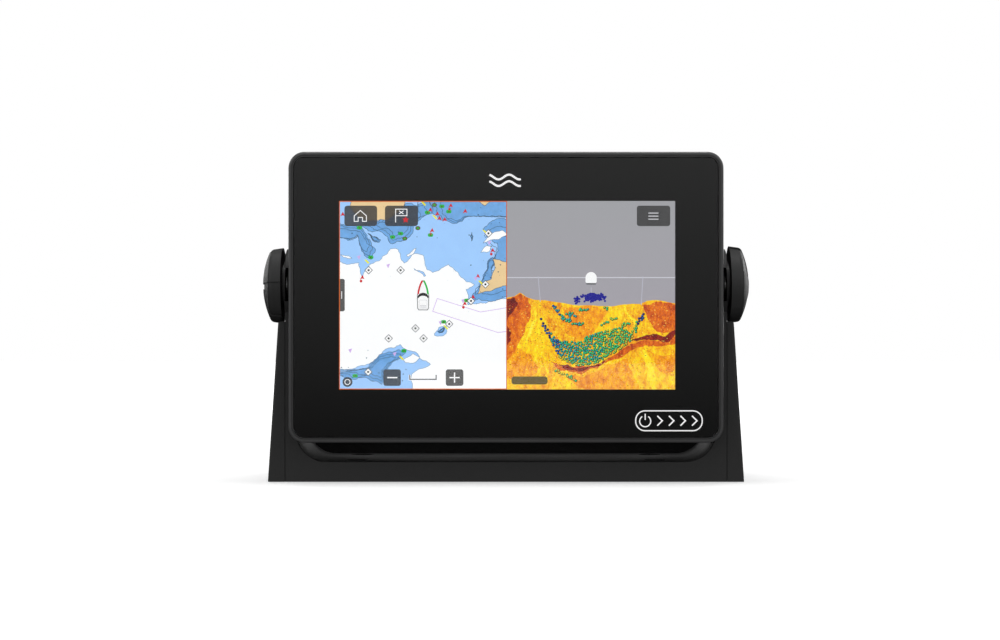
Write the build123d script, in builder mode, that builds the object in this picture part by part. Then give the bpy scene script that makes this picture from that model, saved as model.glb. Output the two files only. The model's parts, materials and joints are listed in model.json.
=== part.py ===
"""Chartplotter display on a trunnion bracket: a seven inch touch display hung between two arms by knobs.

Frame, in millimetres: +X to the right as the screen is read, +Y away from the reader, +Z up. The origin lies
under the middle of the whole object, on the surface that the bracket stands on.
"""
from math import acos, atan, atan2, cos, degrees, hypot, radians, sin, sqrt
import os

from build123d import *

# ---------------------------------------------------------------- driving dimensions
# Names ending in _D are depths: distances behind the tilt axis, negative towards the reader.
PIVOT_Y, PIVOT_Z = -22.0, 91.5  # tilt axis, along X, through both knobs

# front outline of the display, its glass and the picture
FACE_W, FACE_H, FACE_R, FACE_Z = 199.6, 133.4, 7.4, 85.5
RIM = 2.4  # width of the trim bezel seen from the front
GLASS_W, GLASS_H, GLASS_R = FACE_W - 2 * RIM, FACE_H - 2 * RIM, FACE_R - RIM
SCREEN_X, SCREEN_Z, SCREEN_W, SCREEN_H = 0.5, 86.45, 154.2, 86.5
MODULE_W, MODULE_H = 164.4, 99.4  # liquid crystal module around the picture
SWIPE_X, SWIPE_Z, SWIPE_W, SWIPE_H = 74.7, 28.9, 40.0, 11.0  # touch strip of the power control

# layers from the front to the back
BEZEL_FRONT_D, GLASS_FRONT_D, GLASS_BACK_D = -25.0, -24.4, -22.6
PRINT_BACK_D, GASKET_BACK_D, SPLIT_D, FLANGE_BACK_D = -22.4, -22.0, -19.8, -18.2
PANEL_FRONT_D, PANEL_BACK_D, LIGHT_BACK_D, TRAY_BACK_D = -21.8, -20.2, -15.8, -15.2
CHASSIS_FRONT_D, CHASSIS_BACK_D = -14.8, -13.3
SONAR_D, BOARD_D, BOARD_T = -2.0, 12.0, 1.6  # fronts of the two circuit boards, and their thickness
TAPER_D, CASE_BACK_D = 17.0, 26.0

# rear case
SKIRT = 1.6  # wall of the bezel around the case's flange
FLANGE_W, FLANGE_H, FLANGE_R = FACE_W - 2 * SKIRT - 0.2, FACE_H - 2 * SKIRT - 0.2, FACE_R - SKIRT
CASE_W, CASE_H, CASE_R, WALL, TAPER = 190.0, 125.0, 10.0, 2.5, 4.0
CAVITY_W, CAVITY_H, CAVITY_R = CASE_W - 2 * WALL, CASE_H - 2 * WALL, CASE_R - WALL
INNER_BACK_D = CASE_BACK_D - WALL
CASE_SCREWS = [(x, z) for x in (-84, -28, 28, 84) for z in (PIVOT_Z + 45.0, PIVOT_Z - 57.5)]
CHASSIS_SCREWS = [(x, z) for x in (-87, 87) for z in (PIVOT_Z + 30.0, PIVOT_Z - 42.0)]
VENT, VENT_R = (78.0, PIVOT_Z + 4.0), 3.0

# inside
BOARD_X, BOARD_Z, BOARD_W, BOARD_H = 10.0, PIVOT_Z - 3.0, 136.0, 86.0
BOARD_POSTS = [(BOARD_X + x, BOARD_Z + z) for x in (-65, 65) for z in (-39.5, 39.5)]
SONAR_W, SONAR_H = 130.0, 80.0
SONAR_POSTS = [(x, PIVOT_Z + z) for x in (-60, 60) for z in (-38.0, 32.0)]
SINK_X, SINK_Z, SINK_W, SINK_H = 10.0, PIVOT_Z + 13.0, 110.0, 46.0
PEDESTAL_D = 16.2  # front of the heat sink's pedestal, over the processor
RIBBONS = {"lcd_ribbon": (-8.0, 22.0), "touch_ribbon": (14.0, 10.0)}  # middle and width of each flex
RIBBON_Z, RIBBON_T = SCREEN_Z - MODULE_H / 2 - 2.6, 0.3

# connectors: middle, outside radius of the collar, number of contacts
CONNECTORS = {"power_data": (-40.0, 9.0, 14), "network": (2.0, 8.5, 10), "transducer": (44.0, 10.5, 25)}
CONNECTOR_Z = PIVOT_Z - 38.0

# card door, hinged along its left edge as seen from the front
DOOR_X, DOOR_Z, DOOR_W, DOOR_H, DOOR_T = -68.0, PIVOT_Z + 14.0, 26.0, 34.0, 2.4
DOOR_GAP = 0.5
HINGE_X, HINGE_D = DOOR_X - DOOR_W / 2, CASE_BACK_D + 0.5
BARREL_R, HINGE_PIN_R, KNUCKLE = 1.7, 0.75, 14.0

# bracket
BASE_T, BASE_BACK_D, BASE_HALF = 9.4, 69.0, 110.6
ARM_INNER, ARM_OUTER, ARM_FRONT_D = 97.1, 102.5, -11.0
SHOULDER_Z, SHOULDER_HALF = PIVOT_Z - 17.2, 105.8
HEAD_R, SLOT_R, RECESS_R, THROAT_R = 16.8, 7.75, 19.4, 13.9
ARM_EDGE_R, GROOVE_W = 1.2, 0.5
WEB_D, WEB_T, WEB_Z = 57.0, 4.0, PIVOT_Z - 72.0
MOUNT_X, MOUNT_DEPTHS, MOUNT_R, SEAT_R, SEAT_DEEP = 70.0, (3.0, 48.0), 2.75, 5.5, 1.5

# knobs, measured outwards from the middle of the object
RING_END, BOSS_END = 97.0, 101.9
WASHER_IN, WASHER_OUT, WASHER_R = 102.6, 103.6, 11.0
KNOB_IN, RIM_IN, RIM_OUT, KNOB_TOP = 103.7, 104.2, 109.6, 113.08
KNOB_R, KNOB_TOP_R, RIM_ROUND, RIM_EDGE_R, DIMPLE_R = 17.25, 16.5, 2.4, 0.4, 2.5
LOBE, LOBE_RISE, LOBE_ARC = 0.85, 0.55, 60.0  # each grip's swell outwards, its rise at the top, and its arc
KNOB_TURN = {"left": 4.0, "right": -38.0}  # angle of one lobe's lower edge above the forward direction
STUD_R, STUD_IN, STUD_OUT = 3.95, 86.0, 108.0
INSERT_IN, INSERT_R, INSERT_BORE_R, BOSS_R = 84.0, 5.5, 4.02, 7.3

os.makedirs("parts", exist_ok=True)


# ---------------------------------------------------------------- shared helpers
def at(depth):
    """Y of a depth behind the tilt axis."""
    return PIVOT_Y + depth


def upright(depth):
    """Upright plane at a depth: local x is +X, local y is +Z, and extrusions come towards the reader."""
    return Plane.XZ.offset(-at(depth))


def slab(width, height, radius, front, back, centre=(0, FACE_Z), mode=Mode.ADD):
    """Rounded rectangular slab between two depths, added to the part being built."""
    with BuildSketch(upright(back)) as outline:
        with Locations(centre):
            if radius > 0:
                RectangleRounded(width, height, radius)
            else:
                Rectangle(width, height)
    extrude(outline.sketch, amount=back - front, mode=mode)


def frame_slab(outer, inner, front, back, centre=(0, FACE_Z)):
    """Rectangular ring between two depths: outer and inner are (width, height, radius)."""
    slab(*outer, front, back, centre)
    slab(*inner, front, back, centre, Mode.SUBTRACT)


def discs(radius, places, front, back, mode=Mode.ADD):
    """Round posts or holes at (x, z) places between two depths."""
    with BuildSketch(upright(back)) as outline:
        with Locations(*places):
            Circle(radius)
    extrude(outline.sketch, amount=back - front, mode=mode)


def side_disc(radius, inner, outer, side, mode=Mode.ADD):
    """Disc on the tilt axis between two distances from the middle, on one side: -1 left, +1 right."""
    with BuildSketch(Plane.YZ.offset(side * inner)) as outline:
        with Locations((PIVOT_Y, PIVOT_Z)):
            Circle(radius)
    extrude(outline.sketch, amount=side * (outer - inner), mode=mode)


def save(name, builder):
    """Labels a finished piece and writes it as its own node."""
    builder.part.label = name
    export_step(builder.part, f"parts/{name}.step")


# ---------------------------------------------------------------- front of the display
def make_front_bezel():
    """Trim ring: a rounded rim, a fine groove whose inner lip is bevelled, and a skirt behind it."""
    groove_from, groove_w, groove_deep, lip_bevel = 1.3, 0.35, 0.45, 0.4
    groove_end = groove_from + groove_w
    outer = (FACE_W - 2 * groove_from, FACE_H - 2 * groove_from, FACE_R - groove_from)
    inner = (FACE_W - 2 * groove_end, FACE_H - 2 * groove_end, FACE_R - groove_end)
    with BuildPart() as front_bezel:
        slab(FACE_W, FACE_H, FACE_R, BEZEL_FRONT_D, FLANGE_BACK_D)
        fillet(front_bezel.faces().sort_by(Axis.Y)[0].edges(), 1.1)
        fillet(front_bezel.faces().sort_by(Axis.Y)[-1].edges(), 0.5)
        slab(GLASS_W + 0.2, GLASS_H + 0.2, GLASS_R, BEZEL_FRONT_D, FLANGE_BACK_D, mode=Mode.SUBTRACT)
        slab(FACE_W - 2 * SKIRT, FACE_H - 2 * SKIRT, FLANGE_R, GLASS_BACK_D, FLANGE_BACK_D, mode=Mode.SUBTRACT)
        with BuildSketch(upright(BEZEL_FRONT_D + groove_deep)):
            with Locations((0, FACE_Z)):
                RectangleRounded(*outer)
                RectangleRounded(*inner, mode=Mode.SUBTRACT)
        extrude(amount=groove_deep, mode=Mode.SUBTRACT)
        lip = front_bezel.faces().filter_by(Axis.Y).group_by(Axis.Y)[0].sort_by(SortBy.AREA)[-1]
        chamfer(lip.outer_wire().edges(), lip_bevel)
    save("front_bezel", front_bezel)


def make_glass_stack():
    """Cover glass, its printed border, the gasket round it and the touch sensor behind the picture."""
    window = (SCREEN_X, SCREEN_Z)
    with BuildPart() as cover_glass:
        slab(GLASS_W, GLASS_H, GLASS_R, GLASS_FRONT_D, GLASS_BACK_D)
        chamfer(cover_glass.faces().sort_by(Axis.Y)[0].edges(), 0.25)
    save("cover_glass", cover_glass)

    with BuildPart() as border_print:
        slab(GLASS_W - 0.4, GLASS_H - 0.4, GLASS_R, GLASS_BACK_D, PRINT_BACK_D)
        slab(SCREEN_W, SCREEN_H, 0, GLASS_BACK_D, PRINT_BACK_D, window, Mode.SUBTRACT)
    save("border_print", border_print)

    with BuildPart() as glass_gasket:
        slab(GLASS_W - 1.0, GLASS_H - 1.0, GLASS_R, PRINT_BACK_D, GASKET_BACK_D)
        slab(MODULE_W + 4.0, MODULE_H + 4.0, 1.0, PRINT_BACK_D, GASKET_BACK_D, window, Mode.SUBTRACT)
    save("glass_gasket", glass_gasket)

    with BuildPart() as touch_sensor:
        slab(MODULE_W + 1.0, MODULE_H + 1.0, 0.5, PRINT_BACK_D, PANEL_FRONT_D, window)
    save("touch_sensor", touch_sensor)


def make_screen_module():
    """Liquid crystal panel, its edge-lit backlight with a light bar, and the sheet metal tray around them."""
    window = (SCREEN_X, SCREEN_Z)
    bar_h, tray_wall = 2.4, 0.6
    tray_w, tray_h = MODULE_W + 1.6, MODULE_H + 1.6
    with BuildPart() as lcd_panel:
        slab(MODULE_W, MODULE_H, 0.4, PANEL_FRONT_D, PANEL_BACK_D, window)
    save("lcd_panel", lcd_panel)

    light_centre = (SCREEN_X, SCREEN_Z + bar_h / 2)
    with BuildPart() as backlight:
        slab(MODULE_W, MODULE_H - bar_h, 0.4, PANEL_BACK_D, LIGHT_BACK_D, light_centre)
    save("backlight", backlight)

    bar_centre = (SCREEN_X, SCREEN_Z - (MODULE_H - bar_h) / 2 - 0.1)
    with BuildPart() as light_bar:
        slab(MODULE_W - 8.0, bar_h - 0.4, 0, PANEL_BACK_D + 0.4, LIGHT_BACK_D, bar_centre)
    save("light_bar", light_bar)

    with BuildPart() as lcd_tray:
        slab(tray_w, tray_h, 1.0, PANEL_FRONT_D, TRAY_BACK_D, window)
        slab(tray_w - 2 * tray_wall, tray_h - 2 * tray_wall, 0.4, PANEL_FRONT_D, LIGHT_BACK_D, window,
             Mode.SUBTRACT)
        slab(120, 60, 4, LIGHT_BACK_D, TRAY_BACK_D, window, Mode.SUBTRACT)
    save("lcd_tray", lcd_tray)


def make_front_frame():
    """Moulded frame behind the glass, with a spigot and posts, and the power control's touch strip."""
    spigot_w, spigot_h, spigot_wall, spigot_d = CAVITY_W - 0.4, CAVITY_H - 0.4, 2.0, SPLIT_D + 4.0
    swipe_centre = (SWIPE_X, SWIPE_Z)
    with BuildPart() as front_frame:
        slab(FLANGE_W, FLANGE_H, FLANGE_R, GASKET_BACK_D, SPLIT_D)
        slab(spigot_w, spigot_h, CAVITY_R, SPLIT_D, spigot_d)
        slab(spigot_w - 2 * spigot_wall, spigot_h - 2 * spigot_wall, CAVITY_R - spigot_wall,
             SPLIT_D, spigot_d, mode=Mode.SUBTRACT)
        discs(2.8, CHASSIS_SCREWS, SPLIT_D, CHASSIS_FRONT_D)
        discs(1.1, CHASSIS_SCREWS, SPLIT_D + 0.8, CHASSIS_FRONT_D, Mode.SUBTRACT)
        slab(MODULE_W + 2.0, MODULE_H + 2.0, 1.2, GASKET_BACK_D, SPLIT_D, (SCREEN_X, SCREEN_Z), Mode.SUBTRACT)
        slab(SWIPE_W + 0.6, SWIPE_H + 0.6, 1.0, GASKET_BACK_D, GASKET_BACK_D + 1.2, swipe_centre,
             Mode.SUBTRACT)
    save("front_frame", front_frame)

    with BuildPart() as swipe_board:
        slab(SWIPE_W, SWIPE_H, 0.8, GASKET_BACK_D, GASKET_BACK_D + 1.0, swipe_centre)
    save("swipe_board", swipe_board)


# ---------------------------------------------------------------- inside of the display
def make_chassis():
    """Aluminium mid plate with posts for the case screws and the sonar board, and the screws that hold it."""
    post_end = INNER_BACK_D - 3.0
    with BuildPart() as chassis_plate:
        slab(CAVITY_W - 5.4, CAVITY_H - 5.4, CAVITY_R - 2.2, CHASSIS_FRONT_D, CHASSIS_BACK_D)
        discs(3.5, CASE_SCREWS, CHASSIS_BACK_D, post_end)
        discs(1.5, CASE_SCREWS, post_end - 12.0, post_end, Mode.SUBTRACT)
        discs(1.4, CHASSIS_SCREWS, CHASSIS_FRONT_D, CHASSIS_BACK_D, Mode.SUBTRACT)
        discs(2.6, SONAR_POSTS, CHASSIS_BACK_D, SONAR_D)
        discs(1.3, SONAR_POSTS, SONAR_D - 6.0, SONAR_D, Mode.SUBTRACT)
        for ribbon_x, ribbon_w in RIBBONS.values():
            slab(ribbon_w + 3, 4.0, 1.0, CHASSIS_FRONT_D, CHASSIS_BACK_D, (ribbon_x, RIBBON_Z), Mode.SUBTRACT)
    save("chassis_plate", chassis_plate)

    with BuildPart() as chassis_screws:
        discs(2.2, CHASSIS_SCREWS, CHASSIS_BACK_D, CHASSIS_BACK_D + 1.4)
        discs(1.05, CHASSIS_SCREWS, CHASSIS_FRONT_D - 3.5, CHASSIS_BACK_D)
    save("chassis_screws", chassis_screws)


def make_sonar_board():
    """Echo sounder board on the chassis, with its coils and its pressed screening can."""
    back = SONAR_D + BOARD_T
    can_centre = (-26, PIVOT_Z - 2)
    coils = [(20 + 14 * i, PIVOT_Z - 18) for i in range(3)]
    with BuildPart() as sonar_board:
        slab(SONAR_W, SONAR_H, 2.0, SONAR_D, back, (0, BOARD_Z))
        discs(1.4, SONAR_POSTS, SONAR_D, back, Mode.SUBTRACT)
    save("sonar_board", sonar_board)

    with BuildPart() as sonar_shield:
        slab(52, 44, 1.5, back, back + 5.0, can_centre)
        slab(51, 43, 1.0, back, back + 4.5, can_centre, Mode.SUBTRACT)
    save("sonar_shield", sonar_shield)

    with BuildPart() as sonar_coils:
        discs(5.5, coils, back, back + 7.0)
        discs(2.0, coils, back, back + 7.0, Mode.SUBTRACT)
    save("sonar_coils", sonar_coils)

    with BuildPart() as sonar_screws:
        discs(2.4, SONAR_POSTS, back, back + 1.5)
        discs(1.2, SONAR_POSTS, SONAR_D - 5.0, back)
    save("sonar_screws", sonar_screws)


def make_main_board():
    """Main board on the case's rear posts, with processor, memory, capacitors and sounder."""
    back = BOARD_D + BOARD_T
    with BuildPart() as main_board:
        slab(BOARD_W, BOARD_H, 2.0, BOARD_D, back, (BOARD_X, BOARD_Z))
        discs(1.5, BOARD_POSTS, BOARD_D, back, Mode.SUBTRACT)
    save("main_board", main_board)

    with BuildPart() as processor:
        slab(21, 21, 0.5, back, back + 1.6, (SINK_X, SINK_Z))
    save("processor", processor)

    with BuildPart() as memory_chips:
        for x in (-30, 26):
            for z in (-8, 8):
                slab(12, 9, 0.4, back, back + 1.1, (SINK_X + x, SINK_Z + z))
    save("memory_chips", memory_chips)

    with BuildPart() as capacitors:
        discs(4.0, [(BOARD_X - 52 + 12 * i, BOARD_Z - 32) for i in range(2)], BOARD_D - 9.0, BOARD_D)
        fillet(capacitors.faces().group_by(Axis.Y)[0].edges(), 0.6)
    save("capacitors", capacitors)

    sounder_place = [(BOARD_X + 52, BOARD_Z - 28)]
    with BuildPart() as sounder:
        discs(6.0, sounder_place, BOARD_D - 5.5, BOARD_D)
        discs(1.2, sounder_place, BOARD_D - 5.5, BOARD_D - 3.5, Mode.SUBTRACT)
    save("sounder", sounder)

    with BuildPart() as board_screws:
        discs(2.6, BOARD_POSTS, BOARD_D - 1.7, BOARD_D)
        discs(1.25, BOARD_POSTS, BOARD_D, back + 6.0)
    save("board_screws", board_screws)


def make_antennas():
    """Position patch antenna and the strip antenna, both stuck under the top wall."""
    ceiling = FACE_Z + CAVITY_H / 2
    patch, patch_t, carrier, carrier_t, strip_t = 20.0, 4.0, 23.0, 1.2, 0.8
    with BuildPart() as position_antenna:
        with BuildSketch(Plane.XY.offset(ceiling - patch_t)):
            with Locations((55, at(1.0))):
                Rectangle(patch, patch)
        extrude(amount=patch_t)
        with BuildSketch(Plane.XY.offset(ceiling - patch_t - carrier_t)):
            with Locations((55, at(1.0))):
                RectangleRounded(carrier, carrier, 1.5)
        extrude(amount=carrier_t)
    save("position_antenna", position_antenna)

    with BuildPart() as radio_antenna:
        with BuildSketch(Plane.XY.offset(ceiling - strip_t)):
            with Locations((-56, at(1.0))):
                RectangleRounded(38, 9, 1.0)
        extrude(amount=strip_t)
    save("radio_antenna", radio_antenna)


def make_ribbons():
    """Flat flexes from the screen tray, through slots in the chassis, up to the front of the main board."""
    start_d, end_d = (TRAY_BACK_D + CHASSIS_FRONT_D) / 2, BOARD_D - 0.2
    board_foot = BOARD_Z - BOARD_H / 2
    route = [
        (at(start_d), RIBBON_Z + 9.0),
        (at(start_d), RIBBON_Z),
        (at(BOARD_D - 5.0), RIBBON_Z),
        (at(end_d), board_foot),
        (at(end_d), board_foot + 12.0),
    ]
    for name, (x, width) in RIBBONS.items():
        with BuildPart() as ribbon:
            with BuildSketch(Plane.YZ.offset(x - width / 2)):
                with BuildLine() as path:
                    FilletPolyline(*route, radius=[0.6, 3.0, 2.0])
                trace(path.line, RIBBON_T)
            extrude(amount=width)
        save(name, ribbon)


# ---------------------------------------------------------------- rear of the display
def make_rear_case():
    """Rear shell: flange, tapered back, side bosses, door recess, heat sink window and connector holes."""
    seat_d = CASE_BACK_D - 2.2
    recess_d = CASE_BACK_D - DOOR_T - 0.2
    centre = (DOOR_X, DOOR_Z)
    with BuildPart() as rear_case:
        slab(FLANGE_W, FLANGE_H, FLANGE_R, SPLIT_D, FLANGE_BACK_D)
        slab(CASE_W, CASE_H, CASE_R, SPLIT_D, TAPER_D)
        with BuildSketch(upright(TAPER_D)):
            with Locations((0, FACE_Z)):
                RectangleRounded(CASE_W, CASE_H, CASE_R)
        extrude(amount=TAPER_D - CASE_BACK_D, taper=degrees(atan(TAPER / (CASE_BACK_D - TAPER_D))))
        fillet(rear_case.faces().sort_by(Axis.Y)[-1].edges(), 2.0)
        slab(CAVITY_W, CAVITY_H, CAVITY_R, SPLIT_D, TAPER_D - 1.0, mode=Mode.SUBTRACT)
        slab(CAVITY_W - 2 * TAPER, CAVITY_H - 2 * TAPER, CAVITY_R - TAPER, TAPER_D - 1.0, INNER_BACK_D,
             mode=Mode.SUBTRACT)
        with BuildSketch(upright(SPLIT_D + 1.0)):
            with Locations((0, FACE_Z)):
                RectangleRounded(CASE_W + 1.4, CASE_H + 1.4, CASE_R)
                RectangleRounded(CASE_W - 1.4, CASE_H - 1.4, CASE_R - 1.0, mode=Mode.SUBTRACT)
        extrude(amount=1.0, mode=Mode.SUBTRACT)
        discs(3.0, BOARD_POSTS, BOARD_D + BOARD_T, INNER_BACK_D)
        discs(1.3, BOARD_POSTS, BOARD_D + BOARD_T, INNER_BACK_D - 1.5, Mode.SUBTRACT)
        discs(4.6, CASE_SCREWS, INNER_BACK_D - 2.8, INNER_BACK_D)
        discs(3.3, CASE_SCREWS, seat_d, CASE_BACK_D, Mode.SUBTRACT)
        discs(1.7, CASE_SCREWS, INNER_BACK_D - 3.0, seat_d, Mode.SUBTRACT)
        for side in (-1, 1):
            side_disc(9.0, INSERT_IN - 2.0, CASE_W / 2, side)
            side_disc(BOSS_R, CASE_W / 2, BOSS_END, side)
            side_disc(INSERT_R, INSERT_IN, BOSS_END, side, Mode.SUBTRACT)
        slab(DOOR_W + 4, DOOR_H + 4, 3.0, INNER_BACK_D - 2.6, INNER_BACK_D, centre)
        slab(DOOR_W + 2 * DOOR_GAP, DOOR_H + 2 * DOOR_GAP, 1.5, recess_d, CASE_BACK_D, centre, Mode.SUBTRACT)
        slab(12.0, 2.0, 0.5, INNER_BACK_D - 2.6, recess_d, centre, Mode.SUBTRACT)
        slab(22.0, 12.0, 3.0, recess_d - 0.8, recess_d, centre, Mode.SUBTRACT)
        slab(19.6, 9.6, 2.0, recess_d - 0.8, recess_d, centre)
        slab(12.0, 2.0, 0.5, recess_d - 0.8, recess_d, centre, Mode.SUBTRACT)
        slab(SINK_W, SINK_H, 3.0, INNER_BACK_D, CASE_BACK_D, (SINK_X, SINK_Z), Mode.SUBTRACT)
        for x, collar, _ in CONNECTORS.values():
            discs(collar - 1.3, [(x, CONNECTOR_Z)], INNER_BACK_D, CASE_BACK_D, Mode.SUBTRACT)
        discs(VENT_R, [VENT], INNER_BACK_D, CASE_BACK_D, Mode.SUBTRACT)
        hinge_barrel(BARREL_R + 0.3, 0, KNUCKLE + 0.4, Mode.SUBTRACT)
        for side in (-1, 1):
            hinge_barrel(BARREL_R, side * (KNUCKLE / 2 + 3.2), 6.0)
        hinge_barrel(HINGE_PIN_R + 0.05, 0, KNUCKLE + 12.0, Mode.SUBTRACT)
    save("rear_case", rear_case)


def hinge_barrel(radius, rise, length, mode=Mode.ADD):
    """Upright cylinder on the card door's hinge line, of a length centred at a rise from the door's middle."""
    with BuildSketch(Plane.XY.offset(DOOR_Z + rise - length / 2)) as outline:
        with Locations((HINGE_X, at(HINGE_D))):
            Circle(radius)
    extrude(outline.sketch, amount=length, mode=mode)


def make_card_door():
    """Card reader in the case, the face seal round its slot, the door over it and the door's hinge pin."""
    centre, slot_d = (DOOR_X, DOOR_Z), INNER_BACK_D - 2.6
    recess_d = CASE_BACK_D - DOOR_T - 0.2
    with BuildPart() as card_reader:
        slab(15.0, 12.0, 0.5, slot_d - 14.0, slot_d, centre)
        slab(11.6, 1.2, 0, slot_d - 13.0, slot_d, centre, Mode.SUBTRACT)
    save("card_reader", card_reader)

    with BuildPart() as card_door_seal:
        frame_slab((21.8, 11.8, 2.9), (19.8, 9.8, 2.0), recess_d - 0.8, recess_d + 0.1, centre)
    save("card_door_seal", card_door_seal)

    with BuildPart() as card_door:
        slab(DOOR_W, DOOR_H, 1.2, CASE_BACK_D - DOOR_T, CASE_BACK_D, centre)
        fillet(card_door.faces().sort_by(Axis.Y)[-1].edges(), 0.4)
        grip_centre = (DOOR_X + DOOR_W / 2 - 4.0, DOOR_Z)
        slab(2.0, 12.0, 0.9, CASE_BACK_D - 0.8, CASE_BACK_D, grip_centre, Mode.SUBTRACT)
        for side in (-1, 1):
            hinge_barrel(BARREL_R + 0.3, side * (KNUCKLE / 2 + 3.2), 6.4, Mode.SUBTRACT)
        hinge_barrel(BARREL_R, 0, KNUCKLE)
        hinge_barrel(HINGE_PIN_R + 0.05, 0, KNUCKLE, Mode.SUBTRACT)
    save("card_door", card_door)

    with BuildPart() as card_door_pin:
        hinge_barrel(HINGE_PIN_R, 0, KNUCKLE + 11.6)
    save("card_door_pin", card_door_pin)


def make_case_trim():
    """Case seal, case screws, vent plug and the blank rating plate."""
    head_back, socket_r = CASE_BACK_D - 0.3, 1.3
    with BuildPart() as case_seal:
        frame_slab((CASE_W + 1.2, CASE_H + 1.2, CASE_R), (CASE_W - 1.2, CASE_H - 1.2, CASE_R - 1.0),
                   SPLIT_D, SPLIT_D + 1.0)
    save("case_seal", case_seal)

    with BuildPart() as case_screws:
        discs(2.8, CASE_SCREWS, head_back - 1.9, head_back)
        discs(1.45, CASE_SCREWS, head_back - 14.0, head_back - 1.9)
        with BuildSketch(upright(head_back)):
            with Locations(*CASE_SCREWS):
                RegularPolygon(socket_r, 6)
        extrude(amount=1.2, mode=Mode.SUBTRACT)
    save("case_screws", case_screws)

    with BuildPart() as vent_plug:
        discs(VENT_R - 0.05, [VENT], INNER_BACK_D, CASE_BACK_D)
        discs(5.0, [VENT], CASE_BACK_D, CASE_BACK_D + 1.2)
        fillet(vent_plug.faces().sort_by(Axis.Y)[-1].edges(), 0.4)
    save("vent_plug", vent_plug)

    with BuildPart() as rating_plate:
        slab(58, 8.4, 1.0, CASE_BACK_D, CASE_BACK_D + 0.3, (SINK_X, PIVOT_Z - 17.0))
    save("rating_plate", rating_plate)


def make_heat_sink():
    """Finned aluminium sink seated in the case's window, and the soft pad that couples it to the processor."""
    fins, fin_t, seat_t = 15, 2.4, 2.4
    pitch = (SINK_W - 6.0) / (fins - 1)
    centre = (SINK_X, SINK_Z)
    with BuildPart() as heat_sink:
        slab(SINK_W + 6.0, SINK_H + 4.0, 2.0, INNER_BACK_D - seat_t, INNER_BACK_D, centre)
        slab(SINK_W - 0.2, SINK_H - 0.2, 3.0, INNER_BACK_D, CASE_BACK_D - 0.5, centre)
        slab(26, 26, 1.0, PEDESTAL_D, INNER_BACK_D - seat_t, centre)
        for i in range(fins):
            x = SINK_X + (i - (fins - 1) / 2) * pitch
            slab(fin_t, SINK_H - 4.0, 1.1, CASE_BACK_D - 0.5, CASE_BACK_D + 3.0, (x, SINK_Z))
    save("heat_sink", heat_sink)

    with BuildPart() as thermal_pad:
        slab(24, 24, 0.5, BOARD_D + BOARD_T + 1.6, PEDESTAL_D, centre)
    save("thermal_pad", thermal_pad)


def make_connector(name, x, collar, contacts):
    """One round panel connector: plated shell, contact insert, face seal and inside lock nut."""
    place = [(x, CONNECTOR_Z)]
    body, seal_back, flange_back = collar - 1.4, CASE_BACK_D + 0.8, CASE_BACK_D + 2.8
    mouth, insert_back = flange_back + 9.0, flange_back + 7.4
    outer_count = round(contacts * 0.64)
    with BuildPart() as shell:
        discs(body, place, BOARD_D + BOARD_T, seal_back)
        discs(collar + 3.0, place, seal_back, flange_back)
        discs(collar, place, flange_back, mouth)
        chamfer(shell.faces().sort_by(Axis.Y)[-1].edges(), 0.5)
        discs(collar - 2.0, place, seal_back, mouth, Mode.SUBTRACT)
    save(f"{name}_shell", shell)

    with BuildPart() as insert:
        discs(collar - 2.05, place, seal_back, insert_back)
        with BuildSketch(upright(insert_back)):
            with Locations(place[0]):
                with PolarLocations((collar - 2.0) * 0.76, outer_count):
                    Circle(0.62)
                with PolarLocations((collar - 2.0) * 0.42, contacts - outer_count):
                    Circle(0.62)
        extrude(amount=4.0, mode=Mode.SUBTRACT)
    save(f"{name}_insert", insert)

    with BuildPart() as seal:
        discs(collar + 2.2, place, CASE_BACK_D, seal_back)
        discs(body + 0.05, place, CASE_BACK_D, seal_back, Mode.SUBTRACT)
    save(f"{name}_seal", seal)

    with BuildPart() as nut:
        with BuildSketch(upright(INNER_BACK_D)):
            with Locations(place[0]):
                RegularPolygon(collar + 2.6, 6)
                Circle(body + 0.05, mode=Mode.SUBTRACT)
        extrude(amount=3.0)
    save(f"{name}_nut", nut)


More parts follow.
